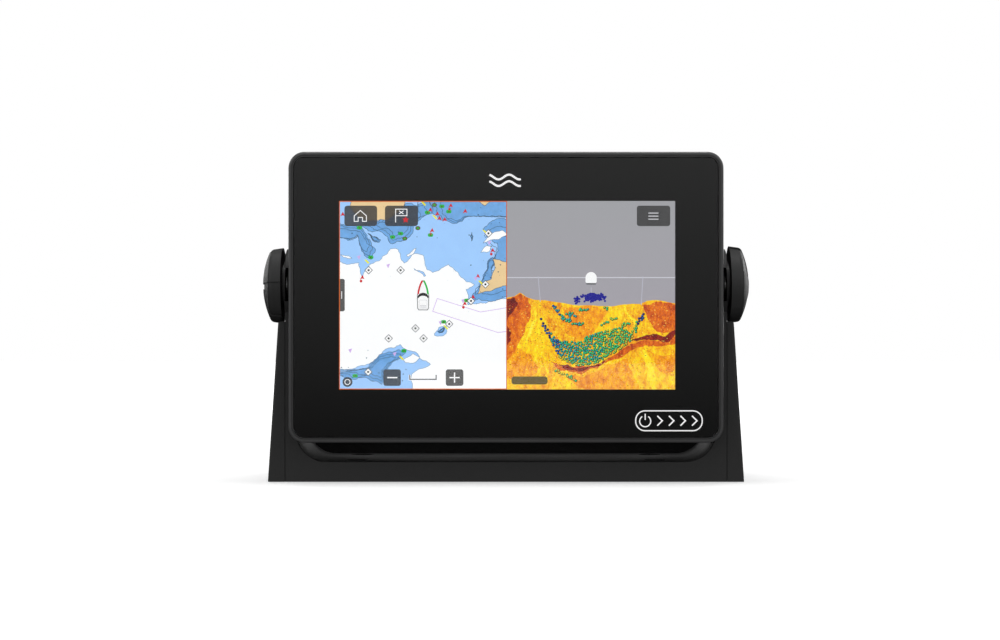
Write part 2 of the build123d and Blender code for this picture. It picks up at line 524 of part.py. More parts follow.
# ---------------------------------------------------------------- bracket and knobs
def make_bracket():
    """One moulding: a ribbed base, a rear web, and two arms whose heads are slotted towards the reader."""
    foot_d = (ARM_FRONT_D + BASE_BACK_D) / 2
    skin, rim, rib = 5.9, 3.6, 2.4
    reach = hypot(BASE_BACK_D, PIVOT_Z - BASE_T)
    lean = acos(HEAD_R / reach) - atan2(PIVOT_Z - BASE_T, BASE_BACK_D)
    arm_outline = [
        (at(ARM_FRONT_D), 0),
        (at(BASE_BACK_D), 0),
        (at(BASE_BACK_D), BASE_T),
        (at(HEAD_R * cos(lean)), PIVOT_Z + HEAD_R * sin(lean)),
        (at(ARM_FRONT_D), PIVOT_Z),
    ]
    mounts = [(x, at(depth)) for x in (-MOUNT_X, MOUNT_X) for depth in MOUNT_DEPTHS]
    with BuildPart() as bracket:
        with BuildSketch(upright(BASE_BACK_D)):
            Polygon((-BASE_HALF, 0), (BASE_HALF, 0), (SHOULDER_HALF, SHOULDER_Z),
                    (-SHOULDER_HALF, SHOULDER_Z), align=None)
            with Locations((0, BASE_T + SHOULDER_Z)):
                RectangleRounded(2 * ARM_INNER, 2 * SHOULDER_Z, THROAT_R, mode=Mode.SUBTRACT)
        extrude(amount=BASE_BACK_D - ARM_FRONT_D)
        with BuildSketch(Plane.YZ.offset(-BASE_HALF)):
            Polygon(*arm_outline, align=None)
        extrude(amount=2 * BASE_HALF, mode=Mode.INTERSECT)
        outer_edges = bracket.edges().filter_by(
            lambda edge: abs(edge.center().X) > ARM_OUTER and edge.center().Z > BASE_T
        )
        fillet(outer_edges, ARM_EDGE_R)
        for side in (-1, 1):
            side_disc(RECESS_R, ARM_OUTER, BASE_HALF, side, Mode.SUBTRACT)
            with BuildSketch(Plane.YZ.offset(side * ARM_INNER)) as plate:
                Polygon(*arm_outline, align=None)
                with Locations((PIVOT_Y, PIVOT_Z)):
                    Circle(HEAD_R)
                with Locations((PIVOT_Y, SHOULDER_Z - PIVOT_Z)):
                    Rectangle(4 * HEAD_R + 120, 2 * PIVOT_Z - 1.0, mode=Mode.SUBTRACT)
            extrude(amount=side * (ARM_OUTER - ARM_INNER))
        with BuildSketch(Plane.YZ.offset(-BASE_HALF)):
            with Locations((PIVOT_Y, PIVOT_Z)):
                Circle(SLOT_R)
                Rectangle(2 * HEAD_R, 2 * SLOT_R, align=(Align.MAX, Align.CENTER))
        extrude(amount=2 * BASE_HALF, mode=Mode.SUBTRACT)
        slab(2 * ARM_INNER, WEB_Z, 0, WEB_D, WEB_D + WEB_T, (0, WEB_Z / 2))
        with BuildSketch(Plane.XY):
            with Locations((0, at(foot_d))):
                Rectangle(2 * (BASE_HALF - rim), BASE_BACK_D - ARM_FRONT_D - 2 * rim)
                Rectangle(2 * BASE_HALF, rib, mode=Mode.SUBTRACT)
                with GridLocations(40.0, 0, 5, 1):
                    Rectangle(rib, 2 * BASE_BACK_D, mode=Mode.SUBTRACT)
            with Locations(*mounts):
                Circle(8.0, mode=Mode.SUBTRACT)
        extrude(amount=BASE_T - skin, mode=Mode.SUBTRACT)
        with BuildSketch(Plane.XY):
            with Locations(*mounts):
                Circle(MOUNT_R)
        extrude(amount=BASE_T, mode=Mode.SUBTRACT)
        with BuildSketch(Plane.XY.offset(BASE_T)):
            with Locations(*mounts):
                Circle(SEAT_R)
        extrude(amount=-SEAT_DEEP, mode=Mode.SUBTRACT)
        lip = bracket.edges().filter_by(
            lambda edge: edge.length > ARM_INNER
            and abs(edge.center().Y - at(ARM_FRONT_D)) < 0.1
            and abs(edge.center().Z - BASE_T) < 0.1
        )
        head_rims = bracket.edges().filter_by(GeomType.CIRCLE).filter_by(
            lambda edge: edge.length > 2 * HEAD_R and edge.center().Z > PIVOT_Z
        )
        fillet(lip + head_rims, 0.6)
        for side in (-1, 1):
            slab(GROOVE_W, 2 * SHOULDER_Z, 0, ARM_FRONT_D, ARM_FRONT_D + GROOVE_W, (side * ARM_OUTER, 0),
                 Mode.SUBTRACT)
    save("bracket", bracket)


def knob_section(side, angle=0, swell=0, rise=0, bore_r=0):
    """Half section of a knob or of one grip: tapered rim and domed top. Local x runs outwards."""
    rim_r, top_r, top = KNOB_R + swell, KNOB_TOP_R + swell, KNOB_TOP + rise
    dome = top - RIM_OUT
    dome_r = (top_r**2 + dome**2) / (2 * dome)
    bore_x = top - dome_r + sqrt(dome_r**2 - bore_r**2)
    mid_x = top - dome_r + sqrt(dome_r**2 - (top_r / 2) ** 2)
    facing = (0, -side * sin(angle), -side * cos(angle))
    with BuildSketch(Plane((0, PIVOT_Y, PIVOT_Z), x_dir=(side, 0, 0), z_dir=facing)) as section:
        with BuildLine():
            Polyline((RIM_OUT, top_r), (RIM_IN, rim_r), (RIM_IN, bore_r), (bore_x, bore_r))
            ThreePointArc((bore_x, bore_r), (mid_x, top_r / 2), (RIM_OUT, top_r))
        make_face()
        corners = section.vertices().sort_by(Axis.Y)
        fillet(corners[-2], RIM_ROUND)
        fillet(corners[-1], RIM_EDGE_R)
    return section.sketch


def make_knob(name, side):
    """One clamping knob with three grips round a dimple, its stud, its washer, all on the tilt axis."""
    axis = Axis((0, PIVOT_Y, PIVOT_Z), (-1, 0, 0))
    start = KNOB_TURN[name]
    with BuildPart() as knob:
        revolve(knob_section(side), axis=axis)
        for lobe in range(3):
            grip = knob_section(side, radians(start + 120 * lobe), LOBE, LOBE_RISE, DIMPLE_R)
            revolve(grip, axis=axis, revolution_arc=LOBE_ARC)
        side_disc(9.5, KNOB_IN, RIM_IN, side)
        side_disc(STUD_R + 0.03, KNOB_IN, STUD_OUT, side, Mode.SUBTRACT)
    save(f"knob_{name}", knob)

    with BuildPart() as stud:
        side_disc(STUD_R, STUD_IN, STUD_OUT, side)
        chamfer(stud.faces().sort_by(Axis.X)[0 if side > 0 else -1].edges(), 0.6)
    save(f"stud_{name}", stud)

    with BuildPart() as washer:
        side_disc(WASHER_R, WASHER_IN, WASHER_OUT, side)
        side_disc(STUD_R + 0.3, WASHER_IN, WASHER_OUT, side, Mode.SUBTRACT)
    save(f"washer_{name}", washer)


def make_side_fittings():
    """Brass inserts moulded into the case's bosses, and the friction rings between case and arms."""
    with BuildPart() as threaded_inserts:
        for side in (-1, 1):
            side_disc(INSERT_R, INSERT_IN, BOSS_END, side)
            side_disc(INSERT_BORE_R, INSERT_IN, BOSS_END, side, Mode.SUBTRACT)
    save("threaded_inserts", threaded_inserts)

    with BuildPart() as friction_rings:
        for side in (-1, 1):
            side_disc(17.0, CASE_W / 2, RING_END, side)
            side_disc(BOSS_R + 0.05, CASE_W / 2, RING_END, side, Mode.SUBTRACT)
    save("friction_rings", friction_rings)


# ---------------------------------------------------------------- everything, in order
make_front_bezel()
make_glass_stack()
make_screen_module()
make_front_frame()
make_chassis()
make_sonar_board()
make_main_board()
make_antennas()
make_ribbons()
make_rear_case()
make_card_door()
make_case_trim()
make_heat_sink()
for connector, (connector_x, collar_r, contact_count) in CONNECTORS.items():
    make_connector(connector, connector_x, collar_r, contact_count)
make_bracket()
make_knob("left", -1)
make_knob("right", 1)
make_side_fittings()
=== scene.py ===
import json
import math
import random

import bmesh
import bpy
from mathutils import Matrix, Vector
from mathutils.geometry import delaunay_2d_cdt


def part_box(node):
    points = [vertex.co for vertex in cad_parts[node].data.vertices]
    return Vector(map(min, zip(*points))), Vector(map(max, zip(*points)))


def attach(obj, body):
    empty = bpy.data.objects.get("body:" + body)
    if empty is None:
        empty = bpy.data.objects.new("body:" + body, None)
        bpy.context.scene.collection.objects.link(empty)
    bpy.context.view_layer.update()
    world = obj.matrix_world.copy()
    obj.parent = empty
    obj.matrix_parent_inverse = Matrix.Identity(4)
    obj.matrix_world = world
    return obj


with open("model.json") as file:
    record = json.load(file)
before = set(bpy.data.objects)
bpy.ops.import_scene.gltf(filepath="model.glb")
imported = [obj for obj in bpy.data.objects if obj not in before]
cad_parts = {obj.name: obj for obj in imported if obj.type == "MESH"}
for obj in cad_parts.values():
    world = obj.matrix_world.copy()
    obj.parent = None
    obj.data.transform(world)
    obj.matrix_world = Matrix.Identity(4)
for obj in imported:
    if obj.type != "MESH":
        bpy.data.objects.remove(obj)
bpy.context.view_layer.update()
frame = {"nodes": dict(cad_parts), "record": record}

MM = 0.001


# ------------------------------------------------------------------ node trees
def linear(red, green, blue):
    """Screen colour, 0 to 255 a channel, as the linear colour that a shader takes."""
    channels = [value / 255 for value in (red, green, blue)]
    return tuple(c / 12.92 if c <= 0.04045 else ((c + 0.055) / 1.055) ** 2.4 for c in channels) + (1.0,)


def grey(level):
    """Neutral linear colour."""
    return (level, level, level, 1.0)


class Value:
    """A number in a node tree, so that sums of nodes read as sums."""

    def __init__(self, tree, socket):
        self.tree = tree
        self.socket = socket

    def __add__(self, other):
        return self.tree.math("ADD", self, other)

    def __mul__(self, other):
        return self.tree.math("MULTIPLY", self, other)

    __radd__ = __add__
    __rmul__ = __mul__


class Tree:
    """A material's or the world's nodes, with short ways to add and join them."""

    def __init__(self, owner):
        owner.use_nodes = True
        self.owner = owner
        self.nodes = owner.node_tree.nodes
        self.links = owner.node_tree.links
        self.nodes.clear()

    def add(self, kind, inputs=None, **settings):
        """New node with its settings and its inputs, by name or number."""
        node = self.nodes.new("ShaderNode" + kind)
        for key, value in settings.items():
            setattr(node, key, value)
        for key, value in (inputs or {}).items():
            self.feed(node.inputs[key], value)
        return node

    def feed(self, target, value):
        """Joins a socket to an input, or sets the input's own value."""
        if isinstance(value, Value):
            value = value.socket
        if isinstance(value, bpy.types.NodeSocket):
            self.links.new(value, target)
        else:
            target.default_value = value

    def math(self, operation, *terms):
        """Sum, product or other operation on the terms."""
        node = self.add("Math", dict(enumerate(terms)), operation=operation)
        return Value(self, node.outputs[0])

    def place(self):
        """Position in the row frame, in metres, and its three parts."""
        position = self.add("TexCoord").outputs["Object"]
        parts = self.add("SeparateXYZ", {0: position}).outputs
        return position, [Value(self, part) for part in parts]

    def noise(self, position, size, detail=3.0, roughness=0.5, stretch=None):
        """Noise from 0 to 1 whose features are about the given size in metres."""
        if stretch:
            position = self.add("Mapping", {"Vector": position, "Scale": stretch}).outputs[0]
        inputs = {"Vector": position, "Scale": 1 / size, "Detail": detail, "Roughness": roughness}
        return Value(self, self.add("TexNoise", inputs).outputs["Fac"])

    def mix(self, factor, first, second):
        """Colour between two colours."""
        return self.add("Mix", {0: factor, 6: first, 7: second}, data_type="RGBA").outputs[2]

    def span(self, value, low, high, out_low=0.0, out_high=1.0):
        """Value moved from one span to another, clamped."""
        node = self.add("MapRange", {0: value, 1: low, 2: high, 3: out_low, 4: out_high})
        return Value(self, node.outputs[0])

    def ramp(self, value, stops):
        """Colour read off a row of (place, colour) stops."""
        node = self.add("ValToRGB", {0: value})
        elements = node.color_ramp.elements
        while len(elements) < len(stops):
            elements.new(0.5)
        for element, (where, colour) in zip(elements, stops):
            element.position = where
            element.color = colour
        return node.outputs[0]

    def bump(self, height, distance):
        """Normal of a surface that rises by the distance, in metres, where the height is 1."""
        return self.add("Bump", {"Height": height, "Distance": distance, "Strength": 1.0}).outputs[0]

    def surface(self, shader):
        """Joins the shader to the material's output, and gives the material."""
        self.add("OutputMaterial", {"Surface": shader.outputs[0]})
        return self.owner


def material(name):
    """Node tree of a new material, with nothing in it yet."""
    return Tree(bpy.data.materials.new(name))


# ------------------------------------------------------------------ materials of the real surfaces
MOTTLE_SIZE = 0.018
CLOUD_SIZE = 0.012
SMEAR_SIZE = 0.03
PRINT_DOT = 0.0004


def moulded(name, level, rough, grain, depth, tint=(1.0, 1.0, 1.0), coat=0.0, wear=0.12):
    """Moulded plastic or rubber: fine spark-eroded grain, faint mottling, and gloss that wanders a little."""
    tree = material(name)
    position, _ = tree.place()
    mottle = tree.noise(position, MOTTLE_SIZE, 4.0)
    fine = tree.noise(position, grain, 2.0, 0.6)
    flecks = tree.noise(position, grain * 5, 3.0)
    base = tuple(level * t for t in tint) + (1.0,)
    pale = tuple(level * t * (1 + 2 * wear) for t in tint) + (1.0,)
    colour = tree.mix(tree.span(mottle * 0.6 + flecks * 0.4, 0.35, 0.7), base, pale)
    shader = tree.add("BsdfPrincipled", {
        "Base Color": colour,
        "Roughness": tree.span(fine * 0.5 + mottle * 0.5, 0.3, 0.7, rough - 0.06, rough + 0.08),
        "Normal": tree.bump(fine, depth),
        "Specular IOR Level": 0.45,
        "Coat Weight": coat,
        "Coat Roughness": 0.2,
    })
    return tree.surface(shader)


def metal(name, colour, rough, brushed=(1.0, 1.0, 1.0), grain=0.0006, depth=0.00001):
    """Bare or plated metal with a directional finish and slight clouding."""
    tree = material(name)
    position, _ = tree.place()
    clouds = tree.noise(position, CLOUD_SIZE, 3.0)
    lines = tree.noise(position, grain, 3.0, 0.6, brushed)
    dark = tuple(0.82 * c for c in colour) + (1.0,)
    shader = tree.add("BsdfPrincipled", {
        "Base Color": tree.mix(tree.span(clouds, 0.3, 0.7), dark, colour + (1.0,)),
        "Metallic": 1.0,
        "Roughness": tree.span(lines * 0.6 + clouds * 0.4, 0.3, 0.7, rough - 0.07, rough + 0.09),
        "Normal": tree.bump(lines, depth),
    })
    return tree.surface(shader)


def clear_glass(name):
    """Toughened cover glass: clear, with a trace of smear in its gloss."""
    tree = material(name)
    position, _ = tree.place()
    smear = tree.noise(position, SMEAR_SIZE, 4.0, 0.55, (1.0, 1.0, 0.4))
    shader = tree.add("BsdfPrincipled", {
        "Base Color": (0.97, 0.98, 0.985, 1.0),
        "Roughness": tree.span(smear, 0.35, 0.75, 0.012, 0.035),
        "IOR": 1.5,
        "Transmission Weight": 1.0,
    })
    return tree.surface(shader)


def black_print(name):
    """Ceramic print behind the glass: near black, with a faint dot screen."""
    tree = material(name)
    position, _ = tree.place()
    dots = tree.noise(position, PRINT_DOT, 1.0)
    shader = tree.add("BsdfPrincipled", {
        "Base Color": tree.mix(tree.span(dots, 0.4, 0.6), grey(0.012), grey(0.017)),
        "Roughness": 0.4,
        "Normal": tree.bump(dots, 0.000001),
    })
    return tree.surface(shader)


def circuit_board(name):
    """Green solder mask with copper tracks showing under it."""
    tree = material(name)
    position, (x, _, z) = tree.place()
    cells = tree.add("TexVoronoi", {"Vector": position, "Scale": 330.0}, distance="MANHATTAN", feature="F1")
    bends = Value(tree, cells.outputs["Distance"]) * 4.0
    copper = tree.span(tree.math("PINGPONG", x * 900.0 + z * 300.0 + bends, 1.0), 0.62, 0.7)
    shader = tree.add("BsdfPrincipled", {
        "Base Color": tree.mix(copper, (0.008, 0.075, 0.025, 1), (0.02, 0.16, 0.055, 1)),
        "Roughness": tree.span(copper, 0.0, 1.0, 0.42, 0.3),
        "Normal": tree.bump(copper, 0.00003),
    })
    return tree.surface(shader)


def flex_film(name):
    """Amber polyimide with parallel copper conductors inside."""
    tree = material(name)
    position, (x, _, _) = tree.place()
    stripes = tree.math("PINGPONG", x * 1000.0, 0.5)
    copper = tree.span(stripes + tree.noise(position, 0.006) * 0.1, 0.22, 0.34)
    shader = tree.add("BsdfPrincipled", {
        "Base Color": tree.mix(copper, (0.42, 0.17, 0.03, 1), (0.6, 0.3, 0.09, 1)),
        "Roughness": 0.32,
        "Normal": tree.bump(stripes, 0.00004),
    })
    return tree.surface(shader)


MATERIALS = {
    "bezel": moulded("bezel", 0.034, 0.34, 0.00035, 0.00001, (1.0, 1.0, 1.02), coat=0.6),
    "cover_glass": clear_glass("cover_glass"),
    "glass_print": black_print("glass_print"),
    "rubber": moulded("rubber", 0.012, 0.62, 0.0005, 0.00002),
    "touch_film": clear_glass("touch_film"),
    "lcd_panel": black_print("lcd_panel"),
    "light_guide": moulded("light_guide", 0.62, 0.25, 0.0009, 0.00001, wear=0.03),
    "tray_metal": metal("tray_metal", (0.56, 0.57, 0.58), 0.34, (1.0, 1.0, 0.05)),
    "frame_plastic": moulded("frame_plastic", 0.022, 0.5, 0.0004, 0.00002),
    "chassis_metal": metal("chassis_metal", (0.62, 0.63, 0.65), 0.42, grain=0.0008, depth=0.00003),
    "circuit_board": circuit_board("circuit_board"),
    "chip": moulded("chip", 0.02, 0.48, 0.0003, 0.00001),
    "shield_metal": metal("shield_metal", (0.68, 0.68, 0.66), 0.28, (0.05, 1.0, 1.0)),
    "coil": moulded("coil", 0.06, 0.6, 0.0006, 0.00003),
    "capacitor_can": metal("capacitor_can", (0.72, 0.73, 0.75), 0.3, (1.0, 0.05, 1.0)),
    "ceramic": moulded("ceramic", 0.5, 0.5, 0.0005, 0.00001, (1.0, 0.86, 0.64), wear=0.04),
    "flex_film": flex_film("flex_film"),
    "screw_steel": metal("screw_steel", (0.55, 0.55, 0.56), 0.27, grain=0.0004),
    "case_plastic": moulded("case_plastic", 0.013, 0.5, 0.00055, 0.00004),
    "sink_metal": moulded("sink_metal", 0.02, 0.4, 0.0004, 0.000015, (1.0, 1.0, 1.04), wear=0.2),
    "plate_film": moulded("plate_film", 0.16, 0.38, 0.0005, 0.000006, wear=0.05),
    "connector_metal": metal("connector_metal", (0.56, 0.54, 0.5), 0.27, (1.0, 0.08, 1.0)),
    "contact_plastic": moulded("contact_plastic", 0.018, 0.34, 0.0005, 0.000008),
    "brass": metal("brass", (0.78, 0.56, 0.22), 0.25, (0.08, 1.0, 1.0)),
    "ring_plastic": moulded("ring_plastic", 0.03, 0.42, 0.0005, 0.00001),
    "bracket_plastic": moulded("bracket_plastic", 0.012, 0.55, 0.0006, 0.000045),
    "knob_plastic": moulded("knob_plastic", 0.012, 0.52, 0.0005, 0.00003),
    "washer_plastic": moulded("washer_plastic", 0.035, 0.45, 0.0005, 0.00001),
}
for row in frame["record"]["subparts"]:
    node = frame["nodes"][row["node"]]
    for mesh_slot in node.material_slots:
        mesh_slot.material = MATERIALS[row["material_slot"]]


# ------------------------------------------------------------------ flat shapes, in millimetres
EDGE_REACH = 0.01  # a point this near to the pane's edge lies on it
SHORTEST_RUN = 0.7  # a shore's shorter runs stay straight
CONTOUR_WIDTH = 0.2
PLAIN_POINTS = 12  # an outline with more points may cross itself, so it is cut into triangles
WELD = 0.0001  # points nearer than this are joined as it is cut


def fillet_box(left, right, low, high, radius, steps=5):
    """Outline of a box with round corners."""
    points = []
    corners = ((right, high, 0), (left, high, 90), (left, low, 180), (right, low, 270))
    for x, z, start in corners:
        middle_x = x - radius if x == right else x + radius
        middle_z = z - radius if z == high else z + radius
        points += disc(middle_x, middle_z, radius, steps, 1.0, start, 90)
    return points


def disc(x, z, radius, sides=12, squash=1.0, start=0.0, sweep=360.0):
    """Outline of a disc, an ellipse or a part of one."""
    count = sides if sweep >= 360 else sides + 1
    angles = [math.radians(start + sweep * i / sides) for i in range(count)]
    return [(x + radius * math.cos(a), z + squash * radius * math.sin(a)) for a in angles]


def diamond(x, z, half, rise=1.0):
    """Outline of a diamond, its height rise times its width."""
    return [(x, z + rise * half), (x - half, z), (x, z - rise * half), (x + half, z)]


def strokes(points, width, closed=False):
    """Straight strips that make a line of that width along the points, mitred at its corners."""
    count = len(points)
    sides = []
    for i, (x, z) in enumerate(points):
        before = points[i - 1] if i or closed else None
        after = points[(i + 1) % count] if i < count - 1 or closed else None
        normals = []
        for start, end in ((before, (x, z)), ((x, z), after)):
            if start and end and start != end:
                run = Vector((end[0] - start[0], end[1] - start[1])).normalized()
                normals.append(Vector((-run.y, run.x)))
        middle = sum(normals, Vector((0, 0))).normalized()
        reach = width / 2 / max(0.5, middle.dot(normals[0]))
        shift_x, shift_z = middle.x * reach, middle.y * reach
        sides.append(((x + shift_x, z + shift_z), (x - shift_x, z - shift_z)))
    ends = range(count) if closed else range(count - 1)
    pairs = [(sides[i], sides[(i + 1) % count]) for i in ends]
    return [[first[0], first[1], second[1], second[0]] for first, second in pairs]


def shore(points, seed, rough=0.13, levels=4):
    """Natural outline through the points: each run is broken at its middle, except along the pane's edges."""
    rng = random.Random(seed)
    for _ in range(levels):
        broken = []
        for start, end in zip(points, points[1:] + points[:1]):
            (x0, z0), (x1, z1) = start, end
            broken.append(start)
            if not on_edge(start, end) and math.dist(start, end) > SHORTEST_RUN:
                shift = rough * rng.uniform(-1, 1)
                broken.append(((x0 + x1) / 2 - shift * (z1 - z0), (z0 + z1) / 2 + shift * (x1 - x0)))
        points = broken
    return [(max(-W, min(W, x)), max(-H, min(H, z))) for x, z in points]


def on_edge(start, end):
    """True for a run along the pane's own edge."""
    side, top = W - EDGE_REACH, H - EDGE_REACH
    return min(abs(start[0]), abs(end[0])) > side or min(abs(start[1]), abs(end[1])) > top


def coastline(outlines, width):
    """Line of that width round each outline, left out along the pane's edges."""
    runs = []
    for outline in outlines:
        for start, end in zip(outline, outline[1:] + outline[:1]):
            if start != end and not on_edge(start, end):
                runs += strokes([start, end], width)
    return runs


def shrunk(outline, share):
    """Outline drawn in towards its own middle, except along the pane's edges."""
    mid_x, mid_z = (sum(values) / len(outline) for values in zip(*outline))
    side, top = W - EDGE_REACH, H - EDGE_REACH
    return [(x if abs(x) > side else mid_x + share * (x - mid_x),
             z if abs(z) > top else mid_z + share * (z - mid_z)) for x, z in outline]


def scattered(rng, tries, spot, gap):
    """Places that spot() gives, none nearer to another than the gap. spot() may give None."""
    kept = []
    for place in (spot(rng) for _ in range(tries)):
        if place and all(math.dist(place, other) > gap for other in kept):
            kept.append(place)
    return kept


def level_at(stations, x, column):
    """Value of a column of the stations at x, on straight runs between them."""
    for first, second in zip(stations, stations[1:]):
        if first[0] <= x <= second[0]:
            share = (x - first[0]) / (second[0] - first[0])
            return first[column] + share * (second[column] - first[column])
    return stations[-1][column]


def area(outline):
    """Area, above zero when the outline runs anticlockwise as the reader sees it."""
    return sum(x0 * z1 - x1 * z0 for (x0, z0), (x1, z1) in zip(outline, outline[1:] + outline[:1])) / 2


def sheet_piece(name, outlines, paint, front, back, middle):
    """Closed thin plates of those outlines round the middle, between two Ys, as one piece of the display."""
    shape = bmesh.new()
    for outline in outlines:
        ring = outline if area(outline) > 0 else outline[::-1]
        points, faces = ring, [range(len(ring))]
        if len(ring) > PLAIN_POINTS:
            points, _, faces, *_ = delaunay_2d_cdt([Vector(point) for point in ring], [], faces, 1, WELD)
        places = [(MM * (middle[0] + point[0]), MM * (middle[1] + point[1])) for point in points]
        fronts = [shape.verts.new((x, MM * front, z)) for x, z in places]
        backs = [shape.verts.new((x, MM * back, z)) for x, z in places]
        runs = {(face[i - 1], face[i]) for face in faces for i in range(len(face))}
        for face in faces:
            shape.faces.new([fronts[i] for i in face])
            shape.faces.new([backs[i] for i in face][::-1])
        for i, j in sorted(runs):
            if (j, i) not in runs:
                shape.faces.new((fronts[i], backs[i], backs[j], fronts[j]))
    mesh = bpy.data.meshes.new(name)
    shape.to_mesh(mesh)
    shape.free()
    mesh.materials.append(paint)
    piece = bpy.data.objects.new(name, mesh)
    bpy.context.scene.collection.objects.link(piece)
    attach(piece, "display")


# ------------------------------------------------------------------ the lit picture
GLASS_LOW, GLASS_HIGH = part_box("cover_glass")
SENSOR_LOW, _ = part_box("touch_sensor")
PANEL_LOW, PANEL_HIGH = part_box("lcd_panel")
SCREEN_MIDDLE = ((PANEL_LOW.x + PANEL_HIGH.x) / 2 / MM, (PANEL_LOW.z + PANEL_HIGH.z) / 2 / MM)
SCREEN_W, SCREEN_H = 154.2, 86.5  # lit area of a seven inch panel
W, H = SCREEN_W / 4, SCREEN_H / 2  # half of one pane's width and height
FILM_GAP = 0.01
PICTURE_BACK = SENSOR_LOW.y / MM - FILM_GAP
LAYER = 0.018  # each layer of the picture stands this far in front of the one under it
GLOW = 1.0
BODY = 0.12  # share of a pixel's colour that its surface has unlit


def lit(name, colour, patch=0.0, size=0.006):
    """Lit picture colour; a patch above 0 lets it drift by that share, as a shaded chart does."""
    tree = material(name)
    light = linear(*colour)
    if patch:
        position, _ = tree.place()
        drift = tree.span(tree.noise(position, size, 4.0, 0.6), 0.3, 0.7)
        dim = tuple(c * (1 - patch) for c in light[:3]) + (1.0,)
        light = tree.mix(drift, dim, light)
    return glowing(tree, light)


def glowing(tree, light):
    """Pixels: they shine in the colour, and a little of the room's light comes back from them."""
    if isinstance(light, tuple):
        body = tuple(BODY * part for part in light[:3]) + (1.0,)
    else:
        body = tree.mix(BODY, grey(0.0), light)
    return tree.surface(tree.add("BsdfPrincipled", {
        "Base Color": body,
        "Roughness": 0.6,
        "Specular IOR Level": 0.0,
        "Emission Color": light,
        "Emission Strength": GLOW,
    }))


def veil(name, level, cover):
    """Dark button face that lets a little of the chart through."""
    tree = material(name)
    position, _ = tree.place()
    drift = tree.span(tree.noise(position, 0.01), 0.3, 0.7, 0.85, 1.15)
    shader = tree.add("BsdfPrincipled", {
        "Base Color": grey(0.0),
        "Roughness": 0.5,
        "Specular IOR Level": 0.0,
        "Emission Color": grey(level),
        "Emission Strength": drift,
        "Alpha": cover,
    })
    return tree.surface(shader)


class Pane:
    """One half of the picture. Shapes are given in millimetres from the pane's own middle."""

    def __init__(self, name, shift):
        self.name = name
        self.middle = (SCREEN_MIDDLE[0] + shift, SCREEN_MIDDLE[1])

    def draw(self, name, layer, outlines, paint):
        """One colour's shapes, as plates that reach from the picture's back to their layer."""
        front = PICTURE_BACK - LAYER * (layer + 1)
        sheet_piece(f"{self.name}_{name}", outlines, paint, front, PICTURE_BACK, self.middle)

    def shores(self, name, layer, outlines, paint, line, seed, rough=0.13, inner=()):
        """Natural outlines filled with one colour, with a contour line round each and others further in."""
        made = [shore(outline, seed + i, rough) for i, outline in enumerate(outlines)]
        self.draw(name, layer, made, paint)
        rings = made + [shrunk(outline, share) for outline in made for share in inner]
        self.draw(name + "_contour", layer + 1, coastline(rings, CONTOUR_WIDTH), line)


DEEP = lit("deep_water", (255, 255, 255))
SHALLOW = lit("shallow_water", (160, 205, 255), 0.05)
INSHORE = lit("inshore_water", (112, 172, 232), 0.2, 0.003)
LAND = lit("land", (238, 206, 152), 0.08)
CONTOUR = lit("contour", (44, 74, 100))
FAINT_CONTOUR = lit("faint_contour", (110, 140, 168))
ORANGE = lit("orange_frame", (204, 92, 8))
BUTTON = veil("button", 0.026, 0.93)
WHITE = lit("white_mark", (250, 250, 250))
SILVER = lit("silver_mark", (206, 206, 210))
BLACK = lit("black_mark", (18, 18, 20))
SLATE = lit("slate_mark", (88, 90, 94))
RED = lit("red_mark", (204, 8, 26))
GREEN = lit("green_mark", (8, 178, 62))
YELLOW = lit("yellow_mark", (236, 232, 26))
OLIVE = lit("olive_mark", (88, 84, 20))
LILAC = lit("lilac_mark", (208, 176, 232))


